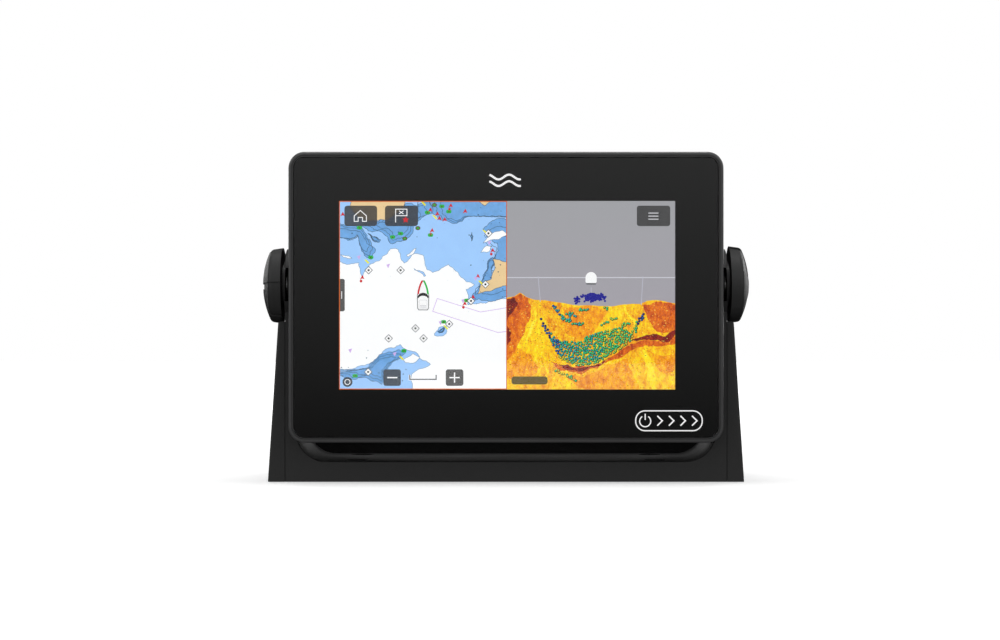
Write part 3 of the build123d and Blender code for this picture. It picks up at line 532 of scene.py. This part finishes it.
def make_chart():
    """Left half: deep water with shallows, land, buoys, the boat and the buttons."""
    pane = Pane("chart", -SCREEN_W / 4)
    pane.draw("deep_water", 0, [[(-W, -H), (W, -H), (W, H), (-W, H)]], DEEP)
    pane.shores("shallows", 1, [
        [(-W, H), (-W, 15.5), (-33.8, 14.2), (-29.5, 14.8), (-27.8, 8.6), (-24.7, 13.8), (-20, 15.8),
         (-18.4, 18), (-15, 21.3), (-11.5, 21), (-8.6, 14.7), (-5.2, 18.4), (0, 18.4), (1.7, 11.8),
         (4.5, 10.4), (11.7, 14.1), (17.2, 8.4), (23.5, 4.9), (19.7, 2.6), (20.6, -4.5), (28.6, -3.7),
         (W, -1.5), (W, H)],
        [(-W, -34), (-28.7, -32.3), (-21.2, -28.9), (-17.2, -24.6), (-10.4, -22.6), (-6.3, -25.4),
         (-3.5, -26), (-1.5, -29), (3.4, -31.8), (0, -33.5), (-5.2, -36.3), (-5.2, -H), (-W, -H)],
        [(5.1, -18.4), (7.2, -14.8), (10.8, -14.2), (10.6, -17.6), (8.2, -18.8)],
        [(-4.3, 12.3), (-3.8, 11.5), (0.4, 10.4), (1.2, 8.8), (0.4, 8.6), (-1.4, 10.6)],
    ], SHALLOW, FAINT_CONTOUR, 3)
    pane.shores("inshore", 2, [
        [(-W, 33.6), (-33, 32), (-28.7, 31.3), (-26.4, 28.4), (-21.8, 21), (-23.5, 16.6), (-27, 18.5),
         (-28.7, 22.5), (-30.4, 27.8), (-34.4, 25), (-W, 26.7)],
        [(-28.7, 31.8), (-20.7, 33.6), (-8.1, 42), (2.8, H), (4, 37.6), (-1.2, 34.7), (-5.8, 27.2),
         (-9.2, 25), (-15, 23.8), (-16.1, 26.4), (-21.2, 29.6)],
        [(2.8, H), (4, 37.8), (7.4, 34.6), (12.6, 33.4), (19.4, 35.6), (27.5, 36.4), (W, 35.9), (W, H)],
        [(-25.4, 28.4), (-22.9, 26.8), (-19.4, 25.4), (-20, 24.4), (-23.4, 25.6)],
        [(27.4, 30.4), (31.5, 34), (W, 34.8), (W, 15.2), (32, 17.4), (29.6, 15.4), (27.5, 7.8), (24, 1.5),
         (22.4, -2.6), (28.6, -2.5), (W, -0.3), (W, 4.1), (31.5, 10), (34, 24), (29, 27)],
        [(-26, -33.8), (-17.2, -26.6), (-11.5, -25), (-8.1, -25.8), (-10.4, -28.9), (-15, -32.3),
         (-18.4, -35.2), (-19, -40.9), (-24.1, -39.2), (-W, -36.5), (-W, -35)],
        [(6.6, -16.6), (10, -14.8), (9.6, -16.2), (7.4, -17.4)],
        [(21.6, 27.2), (22.4, 29), (23, 27), (22.2, 24.8)],
    ], INSHORE, CONTOUR, 21, 0.17, (0.82, 0.62))
    pane.shores("land", 4, [
        [(-33, H), (-8.1, H), (-9, 39.6), (-16, 34.6), (-22, 34.2), (-30, 36), (-33.4, 40)],
        [(32, 16.6), (34.9, 16.4), (W, 15.2), (W, 4.4), (31.5, 2.1), (25.2, 0.6), (26.9, 5.5), (31.4, 7.6),
         (32.9, 12)],
        [(25.6, H), (32.2, H), (28.4, 41)],
    ], LAND, CONTOUR, 41, 0.1)
    pane.shores("channels", 4, [
        [(27.5, 23.8), (30.9, 28.4), (36.6, 29.8), (W, 27.8), (34.6, 25.6), (31, 25.4)],
        [(26.4, 19.6), (29.4, 22.8), (31.2, 22.4), (30, 19.8)],
        [(-9.2, -29.7), (-4.6, -26.8), (-1.4, -28.4), (-4.6, -31.2), (-8, -31)],
        [(-7.6, 18.4), (-3.2, 21.6), (-4.4, 19), (-6.8, 17.6)],
        [(-38, 18.6), (-34, 18), (-32.6, 17), (-36.4, 17.4)],
    ], DEEP, FAINT_CONTOUR, 61, 0.1)
    route = [(W, -5.7), (26.3, -7.7), (6.5, -1.5), (4.4, -7.4), (34.3, -17.1), (W, -16.6)]
    pane.draw("traffic_line", 4, strokes(route, 0.3), LILAC)
    make_buoys(pane)
    make_boat(pane)
    make_chart_buttons(pane)
    edge = 0.42
    pane.draw("frame", 8, [
        [(-W, -H), (-W + edge, -H), (-W + edge, H), (-W, H)],
        [(W - edge, -H), (W, -H), (W, H), (W - edge, H)],
        [(-W + edge, H - edge), (W - edge, H - edge), (W - edge, H), (-W + edge, H)],
        [(-W + edge, -H), (W - edge, -H), (W - edge, -H + edge), (-W + edge, -H + edge)],
    ], ORANGE)


def make_buoys(pane):
    """Red, green and yellow marks with their flares, soundings, and white diamonds with a dot."""
    red = [(-37, 37), (3.2, 39), (6.4, 37.2), (7.4, 35.2), (9.8, 34.6), (19.2, 38.4), (12.6, 41), (4, 29.6),
           (-28, 8), (31.8, 20.4), (22.8, -1), (19, -4), (25, 8.6)]
    green = [(-29.2, 31), (-14, 26.7), (-10.3, 28.3), (-24, 17.4), (8.6, 40.8), (2, 38), (3.4, 27.6),
             (11.8, 38.4), (-8.8, -25.5), (-31.2, -37), (9.4, -12.2), (20, -2.4)]
    yellow = [(5.4, 35.8), (-25.8, 15.4), (28.4, 29), (26.4, 5.8), (-10, -28.8), (10.4, -14.8), (0.2, 42)]
    olive = [(5.2, 41.4), (-2.4, 30.8), (-8.4, 26)]
    lilac = [(-29.4, 17.4), (-16, 13.5), (30.4, 24), (24.2, 7.6), (18.4, -2.6), (8, -12.6), (-33.4, -25.4),
             (-13, -27)]
    cones = [[(x + 0.2, z + 1.3), (x - 1.0, z - 0.8), (x + 0.1, z - 0.3), (x + 1.1, z - 0.6)] for x, z in red]
    bases = [disc(x - 0.5, z - 1.5, 0.62, 8, 1.1) for x, z in red[6:12]]
    cans = [fillet_box(x - 1.2, x + 1.2, z - 0.8, z + 0.8, 0.6, 2) for x, z in green]
    flares = [[(x - 1.2, z + 0.9), (x - 0.4, z + 1.0), (x + 1.2, z - 0.5), (x + 0.5, z - 1.0)]
              for x, z in yellow]
    beams = [[(x - 0.9, z + 0.5), (x + 0.9, z + 1.0), (x, z - 1.1)] for x, z in lilac]
    pane.draw("red_cones", 5, cones + bases, RED)
    pane.draw("green_cans", 5, cans, GREEN)
    pane.draw("green_tops", 6, [disc(x, z - 0.1, 0.4, 8) for x, z in green], OLIVE)
    pane.draw("yellow_flares", 6, flares, YELLOW)
    pane.draw("olive_marks", 5, [disc(x, z, 1.2, 10, 0.8) for x, z in olive], OLIVE)
    pane.draw("olive_cores", 6, [disc(x, z, 0.55, 8, 0.8) for x, z in olive], GREEN)
    pane.draw("lilac_flares", 5, beams, LILAC)

    def sounding(rng):
        """A place in the shallows, or now and then in deep water."""
        x, z = rng.uniform(-W + 1, W - 1), rng.uniform(-H + 1, H - 1)
        near_shore = z > 26 or (z < -26 and x < -8) or (x > 21 and z > -4)
        return (x, z) if near_shore or rng.random() < 0.05 else None

    spots = scattered(random.Random(5), 190, sounding, 1.6)
    specks = [diamond(x, z, 0.16 + 0.12 * (i % 3), 0.8) for i, (x, z) in enumerate(spots)]
    pane.draw("soundings", 5, specks, CONTOUR)
    notes = [(-25, 11.5), (-10.3, 11.5), (-3.5, -15.2), (-15.8, -19.8), (0.2, -19.8), (12, -13.2), (30, 28.4),
             (28.6, 5), (22, -2.6), (-25.2, -35.2)]
    pane.draw("note_edges", 6, [diamond(x, z, 1.95) for x, z in notes], SLATE)
    pane.draw("note_faces", 7, [diamond(x, z, 1.55) for x, z in notes], WHITE)
    pane.draw("note_dots", 8, [disc(x, z, 0.5, 10) for x, z in notes], BLACK)


def make_boat(pane):
    """The boat seen from above, bow up: grey hull line, red and green bow, dark windscreen, cockpit."""
    shoulder, tip, stern = -1.2, 7.0, -6.9
    fullness, steps = 0.85, 10

    def hull(inset):
        """Outline of the hull, drawn in by the inset."""
        right = [(2.1 - inset, stern + inset), (2.7 - inset, stern + 1.0)]
        for i in range(steps + 1):
            z = shoulder + (tip - 1.6 * inset - shoulder) * i / steps
            share = (z - shoulder) / (tip - shoulder)
            right.append((max(0.0, (2.8 - inset) * (1 - share**2) ** fullness), z))
        return right + [(-x, z) for x, z in right[::-1] if x > 0]

    def bow(side):
        """Coloured edge strip of the bow on one side."""
        edge = []
        for i in range(steps + 1):
            z = 0.5 + 6.2 * i / steps
            share = (z - shoulder) / (tip - shoulder)
            edge.append((side * 2.35 * (1 - share**2) ** fullness, z))
        return edge

    pane.draw("hull_edge", 5, [hull(0.0)], SLATE)
    pane.draw("hull", 6, [hull(0.32)], WHITE)
    pane.draw("starboard", 7, strokes(bow(1), 0.8), GREEN)
    pane.draw("port", 7, strokes(bow(-1), 0.8), RED)
    screen = disc(0, -1.0, 2.5, 12, 0.85, 0, 180) + disc(0, -1.5, 2.1, 12, 0.6, 180, -180)
    pane.draw("windscreen", 8, [screen], BLACK)
    rails = strokes(fillet_box(-1.8, 1.8, -6.2, -2.2, 0.6, 3), 0.18, True)
    seats = strokes([(-1.4, -4.9), (1.4, -4.9)], 0.5) + strokes([(-1.3, -5.6), (1.3, -5.6)], 0.25)
    pane.draw("cockpit", 7, rails + seats, SILVER)


def make_chart_buttons(pane):
    """Home, waypoint, zoom and tab buttons, the scale bar and the badge."""
    pane.draw("buttons", 6, [
        fillet_box(-36.1, -21.1, 31.7, 41.1, 1.4),
        fillet_box(-17.5, -2.3, 31.7, 41.1, 1.4),
        fillet_box(-18.2, -10.2, -41.6, -34, 1.1),
        fillet_box(10.4, 18.5, -41.6, -34, 1.1),
        [(-W, -7.4), (-W + 2, -7.4), (-W + 2.6, -6.8), (-W + 2.6, 6.9), (-W + 2, 7.5), (-W, 7.5)],
        disc(-34.7, -39.8, 2.3, 24),
    ], BUTTON)
    house = [(-31.6, 33.9), (-31.6, 36.4), (-28.8, 38.9), (-26.0, 36.4), (-26.0, 33.9), (-27.8, 33.9),
             (-27.8, 35.7), (-29.8, 35.7), (-29.8, 33.9)]
    line, bold = 0.36, 0.6
    icons = strokes(house, line, True)
    icons += strokes([(-12.6, 33.4), (-12.6, 39.5), (-7.4, 39.5), (-7.4, 36.5), (-12.6, 36.5)], line)
    icons += strokes([(-11, 38.7), (-9, 37.3)], line) + strokes([(-11, 37.3), (-9, 38.7)], line)
    icons += strokes([(-16.5, -37.8), (-11.8, -37.8)], bold)
    icons += strokes([(12.1, -37.8), (14.1, -37.8)], bold) + strokes([(14.8, -37.8), (16.8, -37.8)], bold)
    icons += strokes([(14.45, -35.45), (14.45, -40.15)], bold)
    icons += strokes([(-W + 1.2, -1.6), (-W + 1.2, 1.8)], 0.3)
    icons += strokes(disc(-34.7, -39.8, 1.2, 16), 0.3, True)
    pane.draw("icons", 7, icons, WHITE)
    bracket = [(-6.1, -36.5), (-6.1, -38.6), (6.0, -38.6), (6.0, -36.5)]
    pane.draw("scale_edge", 6, strokes(bracket, 1.0), WHITE)
    pane.draw("scale_bar", 7, strokes(bracket, 0.5), SLATE)
    star = [(-8 + r * math.sin(i * math.pi / 5), 34.6 + r * math.cos(i * math.pi / 5))
            for i, r in enumerate((1.6, 0.8) * 5)]
    pane.draw("star", 8, [star], RED)


def rock_paint(name, stops):
    """Lit colours of the bottom, from dark to light, in drifts with streaks and grit."""
    tree = material(name)
    position, _ = tree.place()
    stretch = (1.2, 1.0, 0.7)
    drifts = tree.noise(position, 0.013, 3.0, 0.55, (1.0, 1.0, 0.6))
    streaks = tree.noise(position, 0.0025, 4.0, 0.65, stretch)
    grit = tree.noise(position, 0.0009, 2.0, 0.7, stretch)
    level = tree.span(drifts * 0.5 + streaks * 0.75 + grit * 0.55, 0.62, 1.18)
    colours = [(i / (len(stops) - 1), linear(*stop)) for i, stop in enumerate(stops)]
    return glowing(tree, tree.ramp(level, colours))


def sky_paint():
    """Grey water above the bottom, a little warmer towards it."""
    tree = material("sonar_water")
    position, (_, _, z) = tree.place()
    horizon, top = (MM * (SCREEN_MIDDLE[1] + rise) for rise in (-6, 43))
    drift = tree.noise(position, 0.03) * 0.12
    colour = tree.mix(tree.span(z, horizon, top) + drift, linear(163, 159, 167), linear(157, 157, 161))
    return glowing(tree, colour)


# Where the bottom meets the water, from left to right.
RIDGE = [(-W, -1.1), (-35.2, -0.5), (-32.6, 1.2), (-29.7, -0.8), (-26.3, -2), (-16, -3.1), (-5.7, -4.7),
         (3.5, -4.9), (9.2, -5.1), (15, -4.2), (22.4, -4), (25.8, -2.5), (29.9, -2.2), (W, -3.7)]


def make_sonar():
    """Right half: grey water, the bottom, a cloud of echoes, the boat's mark and a button."""
    pane = Pane("sonar", SCREEN_W / 4)
    pane.draw("water", 0, [[(-W, -H), (W, -H), (W, H), (-W, H)]], sky_paint())
    pane.draw("level_line", 1, strokes([(-W, 8.1), (W, 8.1)], 0.4), lit("level_line", (206, 206, 214)))
    posts = [[(-24.3, 8.6), (-23.3, -3)], [(23.8, 8.6), (23, -4.5)], [(0.05, 3.6), (0.05, 0)]]
    pane.draw("range_posts", 2, [outline for run in posts for outline in strokes(run, 0.35)],
              lit("range_post", (184, 184, 196)))
    make_seabed(pane)
    make_echoes(pane)
    dome = [(2.55, 6.2), *disc(0, 8.1, 2.55, 12, 1.0, 0, 180), (-2.55, 6.2), (-2.3, 5.6), (2.3, 5.6)]
    pane.draw("boat_shadow", 6, [[(-2.1, 4.9), (2.1, 4.9), (2.5, 5.8), (-2.5, 5.8)]], SLATE)
    pane.draw("boat_mark", 7, [dome], WHITE)
    pane.draw("menu_button", 6, [fillet_box(21, 36.3, 31.7, 41.1, 1.2)], BUTTON)
    bars = [outline for z in (37.7, 36.3, 34.9) for outline in strokes([(26.3, z), (30.9, z)], 0.42)]
    pane.draw("menu_bars", 7, bars, SILVER)
    pane.draw("label", 6, [fillet_box(-36.5, -20, -40.9, -37.3, 1.2)], lit("label", (96, 80, 18), 0.15, 0.01))


def make_seabed(pane):
    """The bottom: bright ridges, orange slopes and hollows, pale crests, dark creases, and loose flecks."""
    gold, rust, amber, dark, pale = (rock_paint("seabed_" + name, stops) for name, stops in (
        ("gold", [(206, 96, 0), (240, 150, 0), (252, 196, 0), (255, 222, 4), (255, 240, 30)]),
        ("rust", [(140, 36, 0), (190, 68, 0), (220, 98, 0), (238, 130, 0), (248, 172, 4)]),
        ("amber", [(196, 78, 0), (230, 122, 0), (246, 156, 0), (254, 190, 0), (255, 220, 6)]),
        ("dark", [(70, 0, 0), (108, 8, 0), (146, 22, 0), (190, 60, 0)]),
        ("pale", [(252, 190, 0), (255, 220, 6), (255, 236, 40), (255, 244, 110)]),
    ))
    pane.draw("bottom", 1, [[(-W, -H), (W, -H), *shore(RIDGE[::-1], 7, 0.03, 2)]], gold)
    pane.draw("slopes", 2, [shore(outline, 71 + i, 0.12, 3) for i, outline in enumerate([
        [(-W, -1.6), (-32.6, 0.8), (-29, -1.4), (-27.4, -5), (-30, -14), (-33, -22), (-W, -30)],
        [(23.4, -4.6), (30, -2.8), (W, -4.4), (W, -15.6), (33, -17.4), (30, -16.6), (26.6, -12)],
        [(18, -22.4), (24, -20.6), (31, -21), (W, -19), (W, -22.4), (32, -23.4), (25, -23), (20, -24.6),
         (12, -29.4), (3, -33.6), (-5, -36.4), (-14, -34.8), (-18.4, -30.2), (-8, -33), (3, -31.6),
         (12, -26.6)],
    ])], rust)
    pane.draw("banks", 2, [shore(outline, 131 + i, 0.15, 3) for i, outline in enumerate([
        [(-13, -5.2), (-7, -5.4), (3, -5.6), (8, -7.4), (5, -12), (1.6, -17), (-5, -21), (-11, -18),
         (-13, -10)],
        [(-12, -36), (-5, -37.6), (3, -35), (12, -31), (17, -29), (19, -37), (22, -H), (-2, -H), (-9, -39.4)],
        [(27, -26), (33, -28), (W, -27), (W, -34), (33, -36), (29.6, -32)],
        [(-34, -24), (-28, -27), (-24, -33), (-27, -37), (-W, -38), (-W, -31)],
    ])], amber)
    pane.draw("creases", 3, [shore(outline, 91 + i, 0.12, 3) for i, outline in enumerate([
        [(-W, -1.8), (-35.4, -1), (-33.6, -3.4), (-35.8, -7.6), (-W, -11.4)],
        [(18.4, -20.4), (24.6, -18.6), (29.9, -17.8), (33.2, -19), (W, -15.8), (W, -18), (35.2, -21.6),
         (31, -20.6), (25, -20.4)],
        [(-15, -31.6), (-7, -33.4), (2, -32), (9, -28.4), (4, -32.6), (-5, -35), (-12, -34)],
        [(-W, -14), (-36.6, -17), (-37, -21), (-W, -23)],
    ])], dark)
    pane.draw("crests", 3, [shore(outline, 111 + i, 0.2, 3) for i, outline in enumerate([
        [(14.4, -5), (15.8, -5.2), (19.6, -10.6), (21.2, -14.6), (19.8, -14.2), (17.2, -9.4)],
        [(23.2, -25), (24.6, -24.8), (27.4, -31), (29.2, -37), (29.6, -H), (28.2, -H), (26.4, -35),
         (24.4, -29)],
        [(-25.6, -6.4), (-24.8, -8), (-26.4, -14), (-29.4, -21), (-30, -20.6), (-27.6, -13.6)],
        [(-20.6, -33), (-19.4, -34.4), (-20, -39.4), (-21, -38)],
    ])], pale)

    def bottom_spot(rng):
        """A place anywhere on the bottom."""
        x = rng.uniform(-W + 0.6, W - 0.6)
        return x, rng.uniform(-H + 0.5, level_at(RIDGE, x, 1) - 0.8)

    rng = random.Random(17)
    flecks = scattered(rng, 1500, bottom_spot, 0.6)
    kinds = (("dark_flecks", (142, 62, 0)), ("rust_flecks", (214, 104, 0)), ("bright_flecks", (255, 238, 96)))
    for i, (name, colour) in enumerate(kinds):
        shapes = [diamond(x, z, rng.uniform(0.16, 0.42), 0.45) for x, z in flecks[i::3]]
        pane.draw(name, 4, shapes, lit(name, colour))


def make_echoes(pane):
    """Cloud of echoes: ringed dots packed in a crescent, thin at its ends, coloured by where they lie."""
    cloud = [(-23.4, -10.2, -11.8), (-21.4, -13.4, -16.2), (-18.6, -17.2, -20.2), (-16.8, -19.4, -25),
             (-14, -21, -29), (-10, -21.2, -31), (-5, -21.6, -32.4), (-1.5, -18.6, -32), (3, -17.2, -30.6),
             (8, -16.2, -28), (12, -14.8, -25.4), (15, -15.6, -23.6), (18, -16.6, -21.4), (20.5, -12.8, -17),
             (22.4, -9.4, -12.6), (24, -8.4, -10.6)]
    strands = [((-17.4, -4.8), (-14.8, -7.6)), ((-14.6, -8.8), (-8.6, -13.4)), ((-13.6, -10.4), (-9.4, -11)),
               ((-11.2, -8.4), (-6.6, -9.4)), ((-8.2, -13.4), (-3.6, -13.2)), ((-5, -6.4), (-1.2, -6.9)),
               ((5, -13.2), (12.6, -10)), ((5.8, -5.4), (7.2, -5.7)), ((-16.4, -34.2), (-7.2, -39)),
               ((-15, -34.4), (-8.6, -38)), ((14, -14.2), (17.4, -13))]
    cloud_gap, strand_gap, blob_gap = 0.8, 0.68, 0.3

    def cloud_spot(rng):
        """A place between the crescent's edges, less often near its ends."""
        x, z = rng.uniform(cloud[0][0], cloud[-1][0]), rng.uniform(-33, -8)
        inside = level_at(cloud, x, 2) < z < level_at(cloud, x, 1)
        return (x, z) if inside and (abs(x) < 16.5 or rng.random() < 0.55) else None

    def strand_spot(rng):
        """A place close to one of the strands."""
        (x0, z0), (x1, z1) = rng.choice(strands)
        t = rng.random()
        return x0 + t * (x1 - x0) + rng.gauss(0, 0.3), z0 + t * (z1 - z0) + rng.gauss(0, 0.3)

    def blob_spot(rng):
        """A place in the dark cluster near the surface, or in the small one beside it."""
        x, z = rng.gauss(1.2, 2.2), rng.gauss(-1.0, 0.75)
        return (x, z) if rng.random() < 0.94 else (rng.gauss(-6.5, 0.6), rng.gauss(-2, 0.7))

    rng = random.Random(11)
    echoes = scattered(rng, 7500, cloud_spot, cloud_gap) + scattered(rng, 170, strand_spot, strand_gap)
    blob = scattered(rng, 260, blob_spot, blob_gap)
    colours = {"deep_blue": (6, 10, 120), "blue": (6, 92, 176), "teal": (10, 168, 164),
               "green": (48, 200, 122), "lime": (160, 208, 64), "amber": (222, 204, 40)}
    dots = {kind: [] for kind in colours}
    for x, z in echoes:
        if x < -19 or x > 21:
            kind = rng.choice(("deep_blue", "blue"))
        elif x < -14.5 and z > -27:
            kind = rng.choice(("blue", "teal"))
        elif z < level_at(cloud, x, 2) + 1.3:
            kind = rng.choice(("lime", "amber", "green"))
        elif x < -6:
            kind = rng.choice(("teal", "teal", "green"))
        elif x < 5:
            kind = rng.choice(("green", "green", "teal"))
        else:
            kind = rng.choice(("green", "green", "lime"))
        dots[kind].append((x, z))
    rings = [disc(x + 0.1, z - 0.12, 0.64, 8) for x, z in echoes]
    pane.draw("echo_rings", 5, rings, lit("echo_ring", (4, 22, 20)))
    for kind, places in dots.items():
        paint = lit("echo_" + kind, colours[kind])
        pane.draw("echo_" + kind, 6, [disc(x, z, 0.4, 8) for x, z in places], paint)
    pane.draw("blob", 7, [disc(x, z, 0.52, 8) for x, z in blob], lit("echo_blob", (2, 0, 138)))


make_chart()
make_sonar()


# ------------------------------------------------------------------ marks printed on the glass
def make_printed_marks():
    """The maker's place at the top, filled with plain waves, and the power control at the lower right, in
    white ink with a painted glow.
    """
    face = GLASS_LOW.y / MM
    front, back = face - 0.02, face + 0.002
    ink_with_painted_glow = material("printed_ink_painted_glow")
    position, _ = ink_with_painted_glow.place()
    grain = ink_with_painted_glow.span(ink_with_painted_glow.noise(position, 0.0005, 2.0), 0.35, 0.65)
    shader = ink_with_painted_glow.add("BsdfPrincipled", {
        "Base Color": ink_with_painted_glow.mix(grain, grey(0.75), grey(0.86)),
        "Roughness": 0.45,
        # Painted light: the white ink glows a little, though no lamp is in it, so the print reads brighter.
        "Emission Color": grey(1.0),
        "Emission Strength": 0.42,
    })
    paint = ink_with_painted_glow.surface(shader)
    middle_z = (GLASS_LOW.z + GLASS_HIGH.z) / 2 / MM

    half_wave, swing = 7.2, 1.1
    shares = [i / 12 - 1 for i in range(25)]
    waves = []
    for rise in (-1.5, 1.5):
        line = [(half_wave * t, rise + swing * math.sin(t * 1.5 * math.pi + 0.4)) for t in shares]
        waves += strokes(line, 0.95)
    sheet_piece("wave_mark", waves, paint, front, back, (-0.4, middle_z + 53.6))

    half_length, half_height, line_width = 15.25, 4.55, 0.52
    outline = fillet_box(-half_length, half_length, -half_height, half_height, half_height - 0.3, 8)
    marks = strokes(outline, line_width, True)
    power_x, ring_r = -10.9, 2.55
    marks += strokes(disc(power_x, -0.2, ring_r, 20, 1.0, 122, 296), line_width)
    marks += strokes([(power_x, 0.4), (power_x, 3.2)], line_width)
    first_arrow, arrow_pitch, half_arrow, arrow_rise = -4.2, 5.3, 1.15, 2.25
    for i in range(4):
        x = first_arrow + arrow_pitch * i
        arrow = [(x - half_arrow, arrow_rise), (x + half_arrow, 0.0), (x - half_arrow, -arrow_rise)]
        marks += strokes(arrow, 0.6)
    swipe_low, swipe_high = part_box("swipe_board")
    swipe_middle = ((swipe_low.x + swipe_high.x) / 2 / MM, (swipe_low.z + swipe_high.z) / 2 / MM)
    sheet_piece("power_mark", marks, paint, front, back, swipe_middle)


make_printed_marks()


# ------------------------------------------------------------------ contacts inside the connectors
CONTACTS = {"power_data": 14, "network": 10, "transducer": 25}  # as many as each insert has holes
CUP_RADIUS = 0.5
CUP_BOTTOM, CUP_TOP = 3.6, 0.7  # depths under the insert's outer face


def make_contacts(name, total):
    """Gold cups at the bottom of the insert's holes, in the two rings that the insert has."""
    low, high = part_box(f"{name}_insert")
    centre = ((low.x + high.x) / 2 / MM, (low.z + high.z) / 2 / MM)
    bore = (high.x - low.x) / 2 / MM + 0.05  # radius of the shell's bore, which the insert clears
    outer = round(total * 0.64)
    rings = ((0.76, outer), (0.42, total - outer))
    cups = []
    for share, count in rings:
        for i in range(count):
            angle = 2 * math.pi * i / count
            x, z = bore * share * math.cos(angle), bore * share * math.sin(angle)
            cups.append(disc(x, z, CUP_RADIUS, 10))
    bottom, top = high.y / MM - CUP_BOTTOM, high.y / MM - CUP_TOP
    sheet_piece(f"{name}_contacts", cups, MATERIALS["brass"], bottom, top, centre)


for connector, contact_count in CONTACTS.items():
    make_contacts(connector, contact_count)


# ------------------------------------------------------------------ studio
def make_floor():
    """Plain pale floor just under the whole object, whose glow rises to white away from it."""
    size, drop = 3.0, 0.0003
    mesh = bpy.data.meshes.new("studio_floor")
    corners = [(-size, -size, 0), (size, -size, 0), (size, size, 0), (-size, size, 0)]
    mesh.from_pydata(corners, [], [(0, 1, 2, 3)])
    tree = material("studio_floor")
    position, (x, y, _) = tree.place()
    tone = tree.mix(tree.noise(position, 0.2), grey(0.62), grey(0.65))
    glow = tree.span(x * x + y * y, 0.06, 0.8, 0.5, 0.95)
    paint = {"Base Color": tone, "Roughness": 0.8, "Emission Color": grey(1.0), "Emission Strength": glow}
    tree.surface(tree.add("BsdfPrincipled", paint))
    mesh.materials.append(tree.owner)
    floor = bpy.data.objects.new("studio_floor", mesh)
    floor.location.z = -drop
    floor.visible_glossy = False
    floor.visible_diffuse = False
    bpy.context.scene.collection.objects.link(floor)


def make_light(name, place, target, width, height, power):
    """Soft rectangular light aimed at a point."""
    data = bpy.data.lights.new(name, "AREA")
    data.shape, data.size, data.size_y, data.energy = "RECTANGLE", width, height, power
    light = bpy.data.objects.new(name, data)
    light.location = place
    light.rotation_euler = (Vector(target) - Vector(place)).to_track_quat("-Z", "Y").to_euler()
    light.visible_camera = False
    bpy.context.scene.collection.objects.link(light)


def make_world():
    """White to the camera; to everything else a soft room, darker low down and in front than overhead."""
    world = bpy.data.worlds.new("studio")
    bpy.context.scene.world = world
    tree = Tree(world)
    direction = tree.add("TexCoord").outputs["Generated"]
    parts = [Value(tree, part) for part in tree.add("SeparateXYZ", {0: direction}).outputs]
    rise = tree.span(parts[2], -1.0, 1.0)
    ahead = tree.ramp(rise, [(0.0, grey(0.3)), (0.41, grey(0.3)), (0.475, grey(0.17)), (0.50, grey(0.37)),
                             (0.535, grey(0.64)), (0.58, grey(0.9)), (1.0, grey(0.8))])
    behind = tree.ramp(rise, [(0.0, grey(0.02)), (0.5, grey(0.005)), (0.7, grey(0.01)), (0.84, grey(0.25)),
                              (1.0, grey(0.5))])
    room = tree.mix(tree.span(parts[1], -0.1, 0.35), ahead, behind)
    seen = tree.add("LightPath").outputs["Is Camera Ray"]
    colour = tree.mix(seen, room, grey(1.0))
    background = tree.add("Background", {"Color": colour, "Strength": 1.0})
    tree.add("OutputWorld", {"Surface": background.outputs[0]})


def make_camera():
    """Level camera at the eye's height, well in front, on the object's middle line."""
    distance, eye_height = 1.1, 0.076
    data = bpy.data.cameras.new("camera")
    data.sensor_width, data.lens = 36.0, 86.4
    data.shift_x, data.shift_y = -0.006, -0.002
    data.clip_start = 0.01
    camera = bpy.data.objects.new("camera", data)
    camera.location = (0.0, GLASS_LOW.y - distance, eye_height)
    camera.rotation_euler = (math.radians(90), 0, 0)
    bpy.context.scene.collection.objects.link(camera)
    bpy.context.scene.camera = camera


make_floor()
make_light("top_softbox", (0.0, 0.03, 1.3), (0, 0.03, 0.1), 0.6, 0.2, 4.5)
make_light("left_softbox", (-1.3, -0.5, 0.5), (0, 0, 0.08), 0.4, 0.9, 1.2)
make_light("right_softbox", (1.3, -0.5, 0.6), (0, 0, 0.08), 0.4, 0.9, 1.0)
make_light("back_left_softbox", (1.0, 1.2, 0.5), (0, 0, 0.08), 0.5, 0.9, 6)
make_light("back_right_softbox", (-1.0, 1.2, 0.6), (0, 0, 0.08), 0.5, 0.9, 6)
make_world()
make_camera()
bpy.context.scene.view_settings.view_transform = "Standard"
